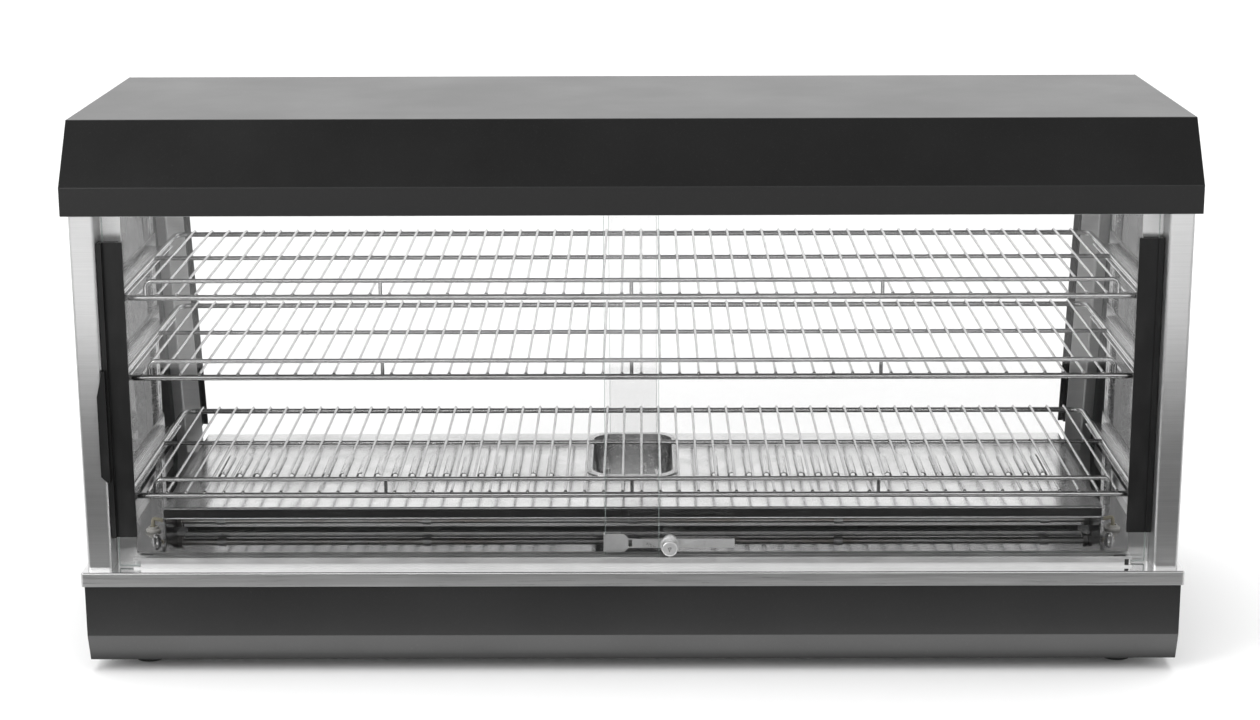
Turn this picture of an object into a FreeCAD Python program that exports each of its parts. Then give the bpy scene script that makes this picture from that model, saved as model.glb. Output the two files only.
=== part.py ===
import FreeCAD, Part
import os
from math import cos, pi, sin, tan

# Countertop heated display cabinet, 1200 mm wide, with sliding glass doors at the front and the back,
# three wire shelves, a louvred heater cover and a lift-out water pan.
# Millimetres. X runs along the width, Y from the front to the back, Z up.
# The origin is on the table, at the middle of the footprint.

Vector = FreeCAD.Vector

# Overall size
WIDTH = 1200.0
DEPTH = 480.0
HEIGHT = 610.0
HALF_WIDTH = WIDTH / 2
FRONT = -DEPTH / 2
REAR = DEPTH / 2

# Levels
FOOT_HEIGHT = 14.0
BASE_BEND = 46.0
TRIM_BOTTOM = 104.0
DECK_TOP = 120.0
HOOD_BOTTOM = 515.0
HOOD_BEND = 545.5
POST_TOP = 540.0
PANE_TOP = 528.0

# Directions
UP = (0, 0, 1)
BACK = (0, 1, 0)
FORWARD = (0, -1, 0)
RIGHT = (1, 0, 0)

# Sheet metal
SHEET = 1.5
THIN_SHEET = 1.2
BEND = 1.5
TIGHT_BEND = 1.0

# Base
BASE_HALF_WIDTH = 597.0
BASE_FACE_INSET = 4.0
BASE_TOE_INSET = 14.0
BASE_RETURN = 22.0
BASE_COVER_DEPTH = 412.0
VENT_XS = (-340.0, 340.0)
VENT_FIRST_Y = -100.0
VENT_PITCH = 40.0
VENT_COUNT = 6
VENT_LENGTH = 120.0
VENT_WIDTH = 6.0
RAIL_XS = (-200.0, 200.0)
RAIL_BOTTOM = 94.0
DECK_CORNER = 3.0
DECK_EDGE = 2.0

# Feet
FOOT_XS = (-540.0, 540.0)
FOOT_YS = (-180.0, 180.0)
FOOT_RADIUS = 17.0
FOOT_TOP_RADIUS = 20.0
FOOT_WELL_RADIUS = 7.0
FOOT_WELL_DEPTH = 7.0
FOOT_HOLE_RADIUS = 2.6
FOOT_SCREW_RADIUS = 2.1
FOOT_SCREW_LENGTH = 14.0
FOOT_HEAD_RADIUS = 5.0
FOOT_HEAD_HEIGHT = 2.8

# Studs with dome nuts on the deck
STUD_XS = (-537.0, 537.0)
STUD_YS = (-137.0, 100.0)
STUD_RADIUS = 2.3
STUD_HOLE_RADIUS = 2.6
STUD_BOTTOM = 98.0
WASHER_RADIUS = 6.5
WASHER_BORE_RADIUS = 2.4
WASHER_THICKNESS = 1.2
NUT_RADIUS = 5.0
NUT_HEIGHT = 4.0
NUT_DOME_RADIUS = 4.2

# Front and rear door walls. Depth is counted inwards from the outer face of the posts.
FRONT_FACE = -231.0
REAR_FACE = 236.0
REAR_LEAN = -0.21
POST_OUTER = 594.0
POST_INNER = 567.0
POST_FLANGE = 545.0
POST_BEND = 2.5
POST_SIDE_DEPTH = 36.0
REBATE_DEPTH = 28.0
TRACK_DEPTH = 5.0
TRACK_PITCH = 9.0
TRACK_WALL = 1.2
TRACK_HEIGHT = 12.0
TRACK_NOTCH = 8.0
UPPER_TRACK_BOTTOM = 512.0
UPPER_TRACK_TOP = 531.0

# Doors
PANE = 4.0
PANE_ARRIS = 0.5
PANE_DEPTHS = {"outer": 8.6, "inner": 17.6}
PANE_OUTER_EDGE = 561.0
OVERLAP = 59.0
PANE_BOTTOM = DECK_TOP + TRACK_WALL + 0.5
HANDLE_BOTTOM = 156.0
HANDLE_TOP = 484.0
HANDLE_INNER_EDGE = 539.5
HANDLE_OUTER_EDGE = 566.0
HANDLE_LEG = 2.0
HANDLE_FACE = 2.7
HANDLE_LIP = 3.5
GROOVE_OFFSET = 2.2
GROOVE_WIDTH = 1.4
GROOVE_DEPTH = 0.8
GRIP_EDGE = 572.5
GRIP_BOTTOM = 221.0
GRIP_TOP = 345.0
GRIP_STAND_OFF = 4.0
GRIP_THICKNESS = 2.4
GRIP_STEM = 3.0
GRIP_TAPER = 5.0

# Lock between the front panes
LOCK_Z = 145.0
LOCK_X = 41.0
BAR_END = 112.0
BAR_HALF_HEIGHT = 5.4
BAR_FRONT = -216.9
BAR_THICKNESS = 1.4
TOOTH_PITCH = 3.0
TOOTH_DEPTH = 1.1
HOOK_HALF_HEIGHT = 10.2
HOOK_GAP = 0.3
HOOK_LEG = 17.3
HOOK_SHOULDER = -9.0
HOOK_NECK = -4.0
BAR_PLAIN = 8.0
WINDOW_HALF_HEIGHT = 4.0
BARREL_RADIUS = 8.5
BARREL_BODY_RADIUS = 9.0
BARREL_FLANGE_RADIUS = 10.5
BARREL_FLANGE_REAR = -222.4
BARREL_FLANGE_THICKNESS = 2.0
BARREL_ROUND = 1.2
BAR_CLEARANCE = 0.4
PLUG_RADIUS = 5.0
PLUG_LENGTH = 11.0
PLUG_CLEARANCE = 0.05
BARREL_FACE = -236.5
KEYWAY_WIDTH = 1.6
KEYWAY_UP = 2.2
KEYWAY_DOWN = 3.2
KEYHOLE_RADIUS = 1.9

# Shelves
SHELF_LEVELS = {"upper": 417.0, "middle": 328.0, "lower": 194.0}
SHELF_FRONT = -199.0
SHELF_REAR = 141.0
SHELF_HALF_WIDTH = 557.0
SHELF_CORNER = 14.0
RAIL_RADIUS = 3.2
WIRE_RADIUS = 1.5
WIRE_COUNT = 52
WIRE_SPAN = 531.0
WELD_SINK = 0.4
CROSS_RAIL_RADIUS = 2.5
FENCE_RADIUS = 2.5
FENCE_RISE = 18.4
FENCE_HALF_WIDTH = 523.0
FENCE_BEND = 8.0
FENCE_STRUTS = (-270.0, 0.0, 270.0)
FENCE_STRUT_RADIUS = 2.0

# Shelf supports
STANDARD_OUTER = 578.0
STANDARD_DEPTH = 22.0
STANDARD_FRONT = -199.0
STANDARD_REAR = 66.0
STANDARD_TOP = 520.0
SLOT_PITCH = 20.0
SLOT_HEIGHT = 10.0
SLOT_WIDTH = 3.0
FIRST_SLOT = 134.0
LEDGE_INNER = 549.0
LEDGE_OUTER = 570.0
LEDGE_HEIGHT = 16.0

# Side glass
SIDE_GLASS_INNER = 584.0
SIDE_GLASS_OUTER = 588.0
CHANNEL_HEIGHT = 12.0

# Louvred heater cover and water pan
COVER_TOP = 171.0
COVER_FRONT = -170.0
COVER_REAR = 117.0
COVER_HALF_WIDTH = 521.0
COVER_LIP = 13.5
COVER_HEM = 5.0
LOUVRE_COUNT = 20
LOUVRE_PITCH = 20.0
LOUVRE_FIRST = 95.0
LOUVRE_FRONT = -56.0
LOUVRE_REAR = 19.0
LOUVRE_RADIUS = 5.0
LOUVRE_WALL = 1.0
LOUVRE_SLOT = 5.0
LOUVRE_SINK = 1.0
PAN_HALF_WIDTH = 54.0
PAN_FRONT = -60.0
PAN_REAR = 116.0
PAN_DEPTH = 44.0
PAN_CORNER = 26.0
PAN_SHEET = 1.0
PAN_RIM = 6.0
PAN_TAPER = 4.0
PAN_CLEARANCE = 0.3

# Heater tube and the strip that carries it
HEATER_RADIUS = 4.0
HEATER_Y = -100.0
HEATER_Z = 133.0
HEATER_END = 534.0
HEATER_HOLE_RADIUS = 4.3
PIN_RADIUS = 1.6
PIN_LENGTH = 7.0
NUT_SIZE = 7.5
INNER_NUT = (514.5, 519.4)
OUTER_NUT = (521.4, 526.5)
WIRE_HOLE_X = 548.0
WIRE_HOLE_RADIUS = 5.2
CARRIER_HALF_LENGTH = 513.5
CARRIER_FRONT = -94.0
CARRIER_STEP = -76.0
CARRIER_REAR = -64.0
CARRIER_TOP = 129.0
CARRIER_LIP = 5.5
STRAP_XS = (-470.0, -235.0, 0.0, 235.0, 470.0)
STRAP_WIDTH = 10.0
STRAP_GAP = 0.1

# Hood
HOOD_TOP_FRONT = -191.0
HOOD_TOP_REAR = 133.0
HOOD_REAR_LIP = 162.0
CEILING_Z = 532.0
LAMP_X = 300.0
LAMP_Y = -45.0
LAMP_RADIUS = 40.0
LENS_THICKNESS = 4.0
REFLECTOR_HEIGHT = 60.0
SOCKET_RADIUS = 12.0
SOCKET_BOTTOM = 42.0
SOCKET_LENGTH = 28.0
BULB_RADIUS = 14.0
BULB_Z = 22.0
BULB_NECK_RADIUS = 8.0

# Case screws on the rear of the base and of the hood
SCREW_RADIUS = 1.6
SCREW_LENGTH = 6.0
SCREW_CLEARANCE = 0.3
SCREW_DOME_RADIUS = 5.0
SCREW_DOME_SINK = 3.2
SCREW_RECESS = 2.2
SCREW_RECESS_WIDTH = 0.8
SCREW_RECESS_FLOOR = 0.8
REAR_SCREW_Z = 92.0
REAR_SCREW_XS = (-570.0, -200.0, 200.0, 570.0)
HOOD_SCREW_Z = 530.0
HOOD_SCREW_XS = (-560.0, -190.0, 190.0, 560.0)

# Control recess in the rear of the base
RECESS_LEFT = 250.0
RECESS_RIGHT = 530.0
RECESS_BOTTOM = 52.0
RECESS_TOP = 98.0
RECESS_FLOOR = 212.0
CONTROL_Z = 75.0
KNOB_X = 455.0
LAMP_SIGNAL_X = 412.0
SWITCH_XS = {"power": 378.0, "lighting": 342.0}
GLAND_X = 507.0
GLAND_BORE = 4.0
GLAND_THREAD_RADIUS = 8.0
GLAND_HEX_RADIUS = 11.5
GLAND_HEX_HEIGHT = 6.0
GLAND_NOSE_LENGTH = 10.0
TRAY_LIP = 4.0
HOLE_GAP = 0.2
SPINDLE_RADIUS = 3.0
SPINDLE_START = 190.5
SPINDLE_LENGTH = 34.0
BUSHING_RADIUS = 4.3
BUSHING_LENGTH = 5.7
THERMOSTAT_HALF = 18.0
THERMOSTAT_FRONT = 178.0
KNOB_GAP = 3.6
KNOB_SKIRT = 5.0
KNOB_GRIP_HALF_WIDTH = 3.2
KNOB_GRIP_REACH = 13.5
SIGNAL_RADIUS = 5.0
SIGNAL_FLANGE_RADIUS = 7.0
SWITCH_HALF_WIDTH = 10.0
SWITCH_HALF_HEIGHT = 14.0
SWITCH_DEPTH = 24.0
SWITCH_WALL = 1.5
SWITCH_FRAME = 2.5
ROCKER_PIN_RADIUS = 1.2
ROCKER_PIN_REACH = 9.2
ROCKER_PIVOT_Y = RECESS_FLOOR - 3
ROCKER_CROWN_Y = RECESS_FLOOR + 4.5
ROCKER_HALF_WIDTH = 8.0
ROCKER_HALF_HEIGHT = 11.2
ROCKER_DISH = 2.2
ROCKER_TILT = 9.0

# Inside the base
TERMINAL_BLOCK_FRONT = 120.0
TERMINAL_BLOCK_REAR = 150.0
TERMINAL_BLOCK_HALF_WIDTH = 40.0
TERMINAL_BLOCK_TOP = 45.0
TERMINAL_PITCH = 12.0
TERMINAL_COUNT = 6
PAD_SPANS = ((-585.0, -245.0), (-155.0, 155.0), (245.0, 585.0))
PAD_FRONT = -200.0
PAD_REAR = 160.0
PAD_BOTTOM = 100.0


def save(name, shape):
    shape.exportStep("parts/%s.step" % name)


def group(shapes):
    return Part.makeCompound(shapes)


def box(x0, x1, y0, y1, z0, z1):
    return Part.makeBox(x1 - x0, y1 - y0, z1 - z0, Vector(x0, y0, z0))


def cylinder(radius, start, axis, length):
    return Part.makeCylinder(radius, length, Vector(*start), Vector(*axis))


def mirrored(shape):
    return shape.mirror(Vector(0, 0, 0), Vector(1, 0, 0))


def both_sides(shape):
    return group([shape, mirrored(shape)])


def rounded_wire(points, radii):
    """Closed wire through the points, with each corner rounded to its own radius."""
    starts = []
    ends = []
    arcs = []
    for index, corner in enumerate(points):
        back = (points[index - 1] - corner).normalize()
        ahead = (points[(index + 1) % len(points)] - corner).normalize()
        radius = radii[index]
        if radius == 0:
            starts.append(corner)
            ends.append(corner)
            continue
        half_angle = back.getAngle(ahead) / 2
        setback = radius / tan(half_angle)
        bisector = (back + ahead).normalize()
        middle = corner + bisector * (radius / sin(half_angle) - radius)
        starts.append(corner + back * setback)
        ends.append(corner + ahead * setback)
        arcs.append((index, middle))
    middles = dict(arcs)
    edges = []
    for index, start in enumerate(starts):
        if index in middles:
            edges.append(Part.Arc(start, middles[index], ends[index]).toShape())
        following = starts[(index + 1) % len(starts)]
        edges.append(Part.LineSegment(ends[index], following).toShape())
    return Part.Wire(edges)


def polygon_face(points):
    return Part.Face(Part.makePolygon(points + [points[0]]))


def left_normal(start, end):
    length = ((end[0] - start[0]) ** 2 + (end[1] - start[1]) ** 2) ** 0.5
    return (-(end[1] - start[1]) / length, (end[0] - start[0]) / length)


def folded_face(path, thickness, place, bend=BEND):
    """Section of a folded sheet. The path is one face of it, and the other lies to the path's left."""
    normals = [left_normal(path[i], path[i + 1]) for i in range(len(path) - 1)]
    offset = []
    path_radii = []
    offset_radii = []
    for index, point in enumerate(path):
        first = normals[max(index - 1, 0)]
        second = normals[min(index, len(normals) - 1)]
        scale = thickness / (1 + first[0] * second[0] + first[1] * second[1])
        shift = [(first[k] + second[k]) * scale for k in (0, 1)]
        offset.append((point[0] + shift[0], point[1] + shift[1]))
        turn = first[0] * second[1] - first[1] * second[0]
        if abs(turn) < 1e-6:
            path_radii.append(0)
            offset_radii.append(0)
        elif turn > 0:
            path_radii.append(bend + thickness)
            offset_radii.append(bend)
        else:
            path_radii.append(bend)
            offset_radii.append(bend + thickness)
    outline = path + offset[::-1]
    radii = path_radii + offset_radii[::-1]
    return Part.Face(rounded_wire([place(u, v) for u, v in outline], radii))


def folded_along_x(path, thickness, x0, x1, bend=BEND):
    """Folded sheet whose section, in Y and Z, runs along X."""
    face = folded_face(path, thickness, lambda y, z: Vector(x0, y, z), bend)
    return face.extrude(Vector(x1 - x0, 0, 0))


def plate_in_yz(points, x0, x1):
    return polygon_face([Vector(x0, y, z) for y, z in points]).extrude(Vector(x1 - x0, 0, 0))


def rounded_block(x0, x1, y0, y1, z0, z1, radius):
    corners = [Vector(x0, y0, z0), Vector(x1, y0, z0), Vector(x1, y1, z0), Vector(x0, y1, z0)]
    return Part.Face(rounded_wire(corners, [radius] * 4)).extrude(Vector(0, 0, z1 - z0))


def rod(points, bend, radius):
    """Round bar along an open path of straight runs joined by tangent bends."""
    edges = []
    start = points[0]
    for index in range(1, len(points) - 1):
        corner = points[index]
        back = (points[index - 1] - corner).normalize()
        ahead = (points[index + 1] - corner).normalize()
        half_angle = back.getAngle(ahead) / 2
        setback = bend / tan(half_angle)
        middle = corner + (back + ahead).normalize() * (bend / sin(half_angle) - bend)
        edges.append(Part.LineSegment(start, corner + back * setback).toShape())
        edges.append(Part.Arc(corner + back * setback, middle, corner + ahead * setback).toShape())
        start = corner + ahead * setback
    edges.append(Part.LineSegment(start, points[-1]).toShape())
    section = Part.Face(Part.Wire(Part.makeCircle(radius, points[0], points[1] - points[0])))
    return Part.Wire(edges).makePipe(section)


def ring_rod(x0, x1, y0, y1, z, corner, radius):
    """Closed round-bar frame with rounded corners, made of four runs and four bends."""
    pieces = []
    left, right = x0 + corner, x1 - corner
    near, far = y0 + corner, y1 - corner
    for y in (y0, y1):
        pieces.append(cylinder(radius, (left, y, z), RIGHT, right - left))
    for x in (x0, x1):
        pieces.append(cylinder(radius, (x, near, z), BACK, far - near))
    centres = ((right, far), (left, far), (left, near), (right, near))
    for index, (x, y) in enumerate(centres):
        bend = Part.makeTorus(corner, radius, Vector(x, y, z), Vector(*UP), -180, 180, 90)
        bend.rotate(Vector(x, y, z), Vector(*UP), 90 * index)
        pieces.append(bend)
    return pieces[0].multiFuse(pieces[1:]).removeSplitter()


class DoorWall:
    """Front or rear wall. Depth runs inwards from its outer face, and the wall may lean with height."""

    def __init__(self, face, inward, lean):
        self.face = face
        self.inward = inward
        self.lean = lean

    def point(self, x, depth, z):
        return Vector(x, self.face + self.inward * depth + self.lean * (z - DECK_TOP), z)

    def rise(self, height):
        return Vector(0, self.lean * height, height)

    def block(self, x0, x1, depth0, depth1, z0, z1):
        corners = [(x0, depth0), (x1, depth0), (x1, depth1), (x0, depth1)]
        face = polygon_face([self.point(x, depth, z0) for x, depth in corners])
        return face.extrude(self.rise(z1 - z0))

    def folded(self, path, z0, z1, bend=BEND):
        face = folded_face(path, THIN_SHEET, lambda x, depth: self.point(x, depth, z0), bend)
        return face.extrude(self.rise(z1 - z0))


FRONT_WALL = DoorWall(FRONT_FACE, 1, 0.0)
REAR_WALL = DoorWall(REAR_FACE, -1, REAR_LEAN)


# ---------------------------------------------------------------- base

def foot_positions():
    return [(x, y) for x in FOOT_XS for y in FOOT_YS]


def make_feet():
    feet = []
    screws = []
    seat = FOOT_HEIGHT + SHEET
    head_bottom = FOOT_WELL_DEPTH - FOOT_HEAD_HEIGHT
    for x, y in foot_positions():
        body = Part.makeCone(FOOT_RADIUS, FOOT_TOP_RADIUS, seat, Vector(x, y, 0))
        body = body.cut(cylinder(FOOT_WELL_RADIUS, (x, y, 0), UP, FOOT_WELL_DEPTH))
        body = body.cut(cylinder(FOOT_HOLE_RADIUS, (x, y, 0), UP, seat))
        feet.append(body)
        head = cylinder(FOOT_HEAD_RADIUS, (x, y, head_bottom), UP, FOOT_HEAD_HEIGHT)
        shank = cylinder(FOOT_SCREW_RADIUS, (x, y, FOOT_WELL_DEPTH), UP, FOOT_SCREW_LENGTH)
        screws.append(head.fuse(shank))
    save("rubber_feet", group(feet))
    save("foot_screws", group(screws))


def make_base_bottom():
    inner_x = BASE_HALF_WIDTH - SHEET - 2
    inner_y = BASE_COVER_DEPTH / 2
    bottom = FOOT_HEIGHT + SHEET
    plate = box(-inner_x, inner_x, -inner_y, inner_y, bottom, bottom + SHEET)
    holes = [cylinder(FOOT_HOLE_RADIUS, (x, y, FOOT_HEIGHT), UP, 10) for x, y in foot_positions()]
    half_length = VENT_LENGTH / 2
    half_width = VENT_WIDTH / 2
    for x in VENT_XS:
        for row in range(VENT_COUNT):
            y = VENT_FIRST_Y + VENT_PITCH * row
            holes.append(box(x - half_length, x + half_length, y - half_width, y + half_width,
                             FOOT_HEIGHT, FOOT_HEIGHT + 10))
    save("base_bottom_cover", plate.cut(holes))


def base_profile(sign):
    """Outer face of the front (sign -1) or rear (sign 1) base panel, in Y and Z, from the top down."""
    face = sign * (REAR - BASE_FACE_INSET)
    toe = sign * (REAR - BASE_TOE_INSET)
    end = toe - sign * BASE_RETURN
    return [(face, TRIM_BOTTOM), (face, BASE_BEND), (toe, FOOT_HEIGHT), (end, FOOT_HEIGHT)]


def make_base_panels():
    front = folded_along_x(base_profile(-1), SHEET, -BASE_HALF_WIDTH, BASE_HALF_WIDTH)
    rear = folded_along_x(base_profile(1)[::-1], SHEET, -BASE_HALF_WIDTH, BASE_HALF_WIDTH)
    window = box(RECESS_LEFT, RECESS_RIGHT, RECESS_FLOOR, REAR, RECESS_BOTTOM, RECESS_TOP)
    save("base_front_panel", front)
    holes = [screw_hole(x, REAR - BASE_FACE_INSET, REAR_SCREW_Z) for x in REAR_SCREW_XS]
    save("base_rear_panel", rear.cut([window] + holes))
    inset = SHEET + 0.2
    face = REAR - BASE_FACE_INSET - inset
    toe = REAR - BASE_TOE_INSET - inset
    outline = [(-face, TRIM_BOTTOM), (-face, BASE_BEND), (-toe, FOOT_HEIGHT + SHEET)]
    outline += [(-y, z) for y, z in outline[::-1]]
    side = plate_in_yz(outline, BASE_HALF_WIDTH - SHEET, BASE_HALF_WIDTH)
    save("base_side_panels", both_sides(side))


def make_crossmembers():
    """Two top-hat rails from front to back that carry the deck."""
    rails = []
    top = DECK_TOP - THIN_SHEET - SHEET
    half_top = 20.0
    half_foot = 40.0
    start = FRONT + 12
    length = 430.0
    for x in RAIL_XS:
        path = [(x - half_foot, RAIL_BOTTOM), (x - half_top, RAIL_BOTTOM), (x - half_top, top),
                (x + half_top, top), (x + half_top, RAIL_BOTTOM), (x + half_foot, RAIL_BOTTOM)]
        face = folded_face(path, SHEET, lambda u, v: Vector(u, start, v))
        rails.append(face.extrude(Vector(0, length, 0)))
    save("base_crossmembers", group(rails))


def make_deck():
    """Stainless floor of the chamber, whose folded edge is the bright band above the base."""
    outer = box(-HALF_WIDTH, HALF_WIDTH, FRONT, REAR, TRIM_BOTTOM, DECK_TOP)
    vertical = [edge for edge in outer.Edges if abs(edge.tangentAt(0).z) > 0.9]
    outer = outer.makeFillet(DECK_CORNER, vertical)
    top = [edge for edge in outer.Edges if edge.BoundBox.ZMin > DECK_TOP - 0.1]
    outer = outer.makeFillet(DECK_EDGE, top)
    half_width = HALF_WIDTH - THIN_SHEET
    half_depth = REAR - THIN_SHEET
    inner = box(-half_width, half_width, -half_depth, half_depth, TRIM_BOTTOM, DECK_TOP - THIN_SHEET)
    holes = [cylinder(STUD_HOLE_RADIUS, (x, y, TRIM_BOTTOM), UP, 20) for x, y in stud_positions()]
    for x in (-WIRE_HOLE_X, WIRE_HOLE_X):
        holes.append(cylinder(WIRE_HOLE_RADIUS, (x, HEATER_Y, TRIM_BOTTOM), UP, 20))
    save("deck_pan", outer.cut(inner).cut(holes))


def stud_positions():
    return [(x, y) for x in STUD_XS for y in STUD_YS]


def hexagon_prism(centre, radius, first, second, height):
    """Six-sided block. The first and second directions span its end face."""
    corners = []
    for index in range(6):
        angle = pi * index / 3
        corners.append(centre + first * (radius * cos(angle)) + second * (radius * sin(angle)))
    return polygon_face(corners).extrude(first.cross(second) * height)


def make_dome_nuts():
    nuts = []
    washers = []
    base = DECK_TOP + WASHER_THICKNESS
    for x, y in stud_positions():
        washer = cylinder(WASHER_RADIUS, (x, y, DECK_TOP), UP, WASHER_THICKNESS)
        washers.append(washer.cut(cylinder(WASHER_BORE_RADIUS, (x, y, DECK_TOP), UP, WASHER_THICKNESS)))
        hexagon = hexagon_prism(Vector(x, y, base), NUT_RADIUS, Vector(*RIGHT), Vector(*BACK), NUT_HEIGHT)
        dome = Part.makeSphere(NUT_DOME_RADIUS, Vector(x, y, base + NUT_HEIGHT), Vector(*UP), 0, 90, 360)
        stud = cylinder(STUD_RADIUS, (x, y, STUD_BOTTOM), UP, base - STUD_BOTTOM)
        nuts.append(hexagon.multiFuse([dome, stud]))
    save("dome_nuts_and_washers", group(nuts + washers))


# ---------------------------------------------------------------- posts, tracks and side glass

def make_posts(wall, name):
    """Folded stainless posts: a rounded outer corner, the face, and a rebate for the door's edge."""
    path = [(POST_FLANGE, REBATE_DEPTH), (POST_INNER, REBATE_DEPTH), (POST_INNER, 0), (POST_OUTER, 0),
            (POST_OUTER, POST_SIDE_DEPTH)]
    right = wall.folded(path, DECK_TOP, POST_TOP, POST_BEND)
    save("%s_right_post" % name, right)
    save("%s_left_post" % name, mirrored(right))


def track_walls(wall, x0, x1, z0, z1):
    walls = []
    for index in range(3):
        depth = TRACK_DEPTH + TRACK_PITCH * index
        walls.append(wall.block(x0, x1, depth, depth + TRACK_WALL, z0, z1))
    return walls


def make_tracks(wall, name):
    """Double-groove aluminium tracks, one on the deck and one under the hood."""
    last = TRACK_DEPTH + 2 * TRACK_PITCH + TRACK_WALL
    x0, x1 = -POST_FLANGE + 0.3, POST_FLANGE - 0.3
    floor = wall.block(x0, x1, TRACK_DEPTH, last, DECK_TOP, DECK_TOP + TRACK_WALL)
    lower = floor.multiFuse(track_walls(wall, x0, x1, DECK_TOP, DECK_TOP + TRACK_HEIGHT)).removeSplitter()
    notch_bottom = DECK_TOP + 2
    notch_top = DECK_TOP + 9
    for edge in (x0, x1 - TRACK_NOTCH):
        lower = lower.cut(wall.block(edge, edge + TRACK_NOTCH, TRACK_DEPTH - 1, TRACK_DEPTH + 2,
                                     notch_bottom, notch_top))
    save("%s_lower_track" % name, lower)
    x0, x1 = -POST_INNER + 1.5, POST_INNER - 1.5
    roof = wall.block(x0, x1, TRACK_DEPTH, last, UPPER_TRACK_TOP - TRACK_WALL, UPPER_TRACK_TOP)
    upper = roof.multiFuse(track_walls(wall, x0, x1, UPPER_TRACK_BOTTOM, UPPER_TRACK_TOP)).removeSplitter()
    save("%s_upper_track" % name, upper)


def side_glass_front():
    return FRONT_FACE + 3.0


def side_glass_rear(z):
    return REAR_FACE - 3.0 + REAR_LEAN * (z - DECK_TOP)


def side_strip(x0, x1, z0, z1, inset=0.0):
    """Upright strip on the right-hand side, from the front post to the leaning rear post."""
    outline = [(side_glass_front() + inset, z0), (side_glass_rear(z0) - inset, z0),
               (side_glass_rear(z1) - inset, z1), (side_glass_front() + inset, z1)]
    return plate_in_yz(outline, x0, x1)


def make_side_glass():
    glass = ground_edges(side_strip(SIDE_GLASS_INNER, SIDE_GLASS_OUTER, DECK_TOP + 1.5, PANE_TOP))
    save("right_side_glass", glass)
    save("left_side_glass", mirrored(glass))
    outer = SIDE_GLASS_OUTER + THIN_SHEET + 0.2
    inner = SIDE_GLASS_INNER - THIN_SHEET - 0.2
    channels = []
    gap = (SIDE_GLASS_INNER - 0.2, SIDE_GLASS_OUTER + 0.2)
    bottom = DECK_TOP
    top = PANE_TOP + 1.5
    lower = side_strip(inner, outer, bottom, bottom + CHANNEL_HEIGHT, 36)
    lower = lower.cut(side_strip(gap[0], gap[1], bottom + 1.2, bottom + CHANNEL_HEIGHT + 1, 30))
    channels.append(lower)
    upper = side_strip(inner, outer, top - CHANNEL_HEIGHT, top, 36)
    upper = upper.cut(side_strip(gap[0], gap[1], top - CHANNEL_HEIGHT - 1, top - 1.2, 30))
    channels.append(upper)
    save("side_glass_channels", group(channels + [mirrored(channel) for channel in channels]))


# ---------------------------------------------------------------- doors

def ground_edges(pane):
    """Pane with a small arris along every edge."""
    return pane.makeChamfer(PANE_ARRIS, pane.Edges)


def pane_span(side):
    """Low and high X of a pane that closes against the left (-1) or right (1) posts."""
    if side < 0:
        return -PANE_OUTER_EDGE, OVERLAP / 2
    return -OVERLAP / 2, PANE_OUTER_EDGE


def make_handle(wall, place):
    """Black channel on a right-hand pane's closing edge, with a leg in front of and behind the glass."""
    near = PANE_DEPTHS[place]
    far = near + PANE
    front = near - (HANDLE_FACE if place == "outer" else HANDLE_LEG)
    rear = far + (HANDLE_LEG if place == "outer" else HANDLE_FACE)
    lip = HANDLE_LIP if place == "outer" else 0.0
    span = (HANDLE_BOTTOM, HANDLE_TOP)
    groove_start = PANE_OUTER_EDGE - GROOVE_OFFSET
    groove_end = groove_start + GROOVE_WIDTH
    face = wall.block(HANDLE_INNER_EDGE, PANE_OUTER_EDGE, front, near, *span)
    groove = wall.block(groove_start, groove_end, front - 1, front + GROOVE_DEPTH, *span)
    edge = wall.block(PANE_OUTER_EDGE, HANDLE_OUTER_EDGE, front - lip, rear, *span)
    back = wall.block(POST_FLANGE, PANE_OUTER_EDGE, far, rear, *span)
    return face.multiFuse([edge, back]).cut(groove).removeSplitter()


def make_grip(wall):
    """Finger grip that stands out over the face of the post, part of the outer door's handle."""
    front = -GRIP_STAND_OFF
    rear = PANE_DEPTHS["outer"] - HANDLE_FACE - HANDLE_LIP + 0.1
    start = HANDLE_OUTER_EDGE - GRIP_STEM
    stem = wall.block(start, HANDLE_OUTER_EDGE, front, rear, GRIP_BOTTOM, GRIP_TOP)
    flange = wall.block(start, GRIP_EDGE, front, front + GRIP_THICKNESS, GRIP_BOTTOM, GRIP_TOP)
    reach = GRIP_EDGE - HANDLE_OUTER_EDGE
    past = GRIP_EDGE + 1
    lower_cut = [(HANDLE_OUTER_EDGE, GRIP_BOTTOM), (past, GRIP_BOTTOM), (past, GRIP_BOTTOM + reach + 1)]
    upper_cut = [(HANDLE_OUTER_EDGE, GRIP_TOP), (past, GRIP_TOP), (past, GRIP_TOP - GRIP_TAPER * reach)]
    for corner in (lower_cut, upper_cut):
        depth = wall.face + wall.inward * front * 2
        outline = [Vector(x, depth, z) for x, z in corner]
        flange = flange.cut(polygon_face(outline).extrude(Vector(0, 24 * wall.inward, 0)))
    return stem.fuse(flange).removeSplitter()


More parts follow.
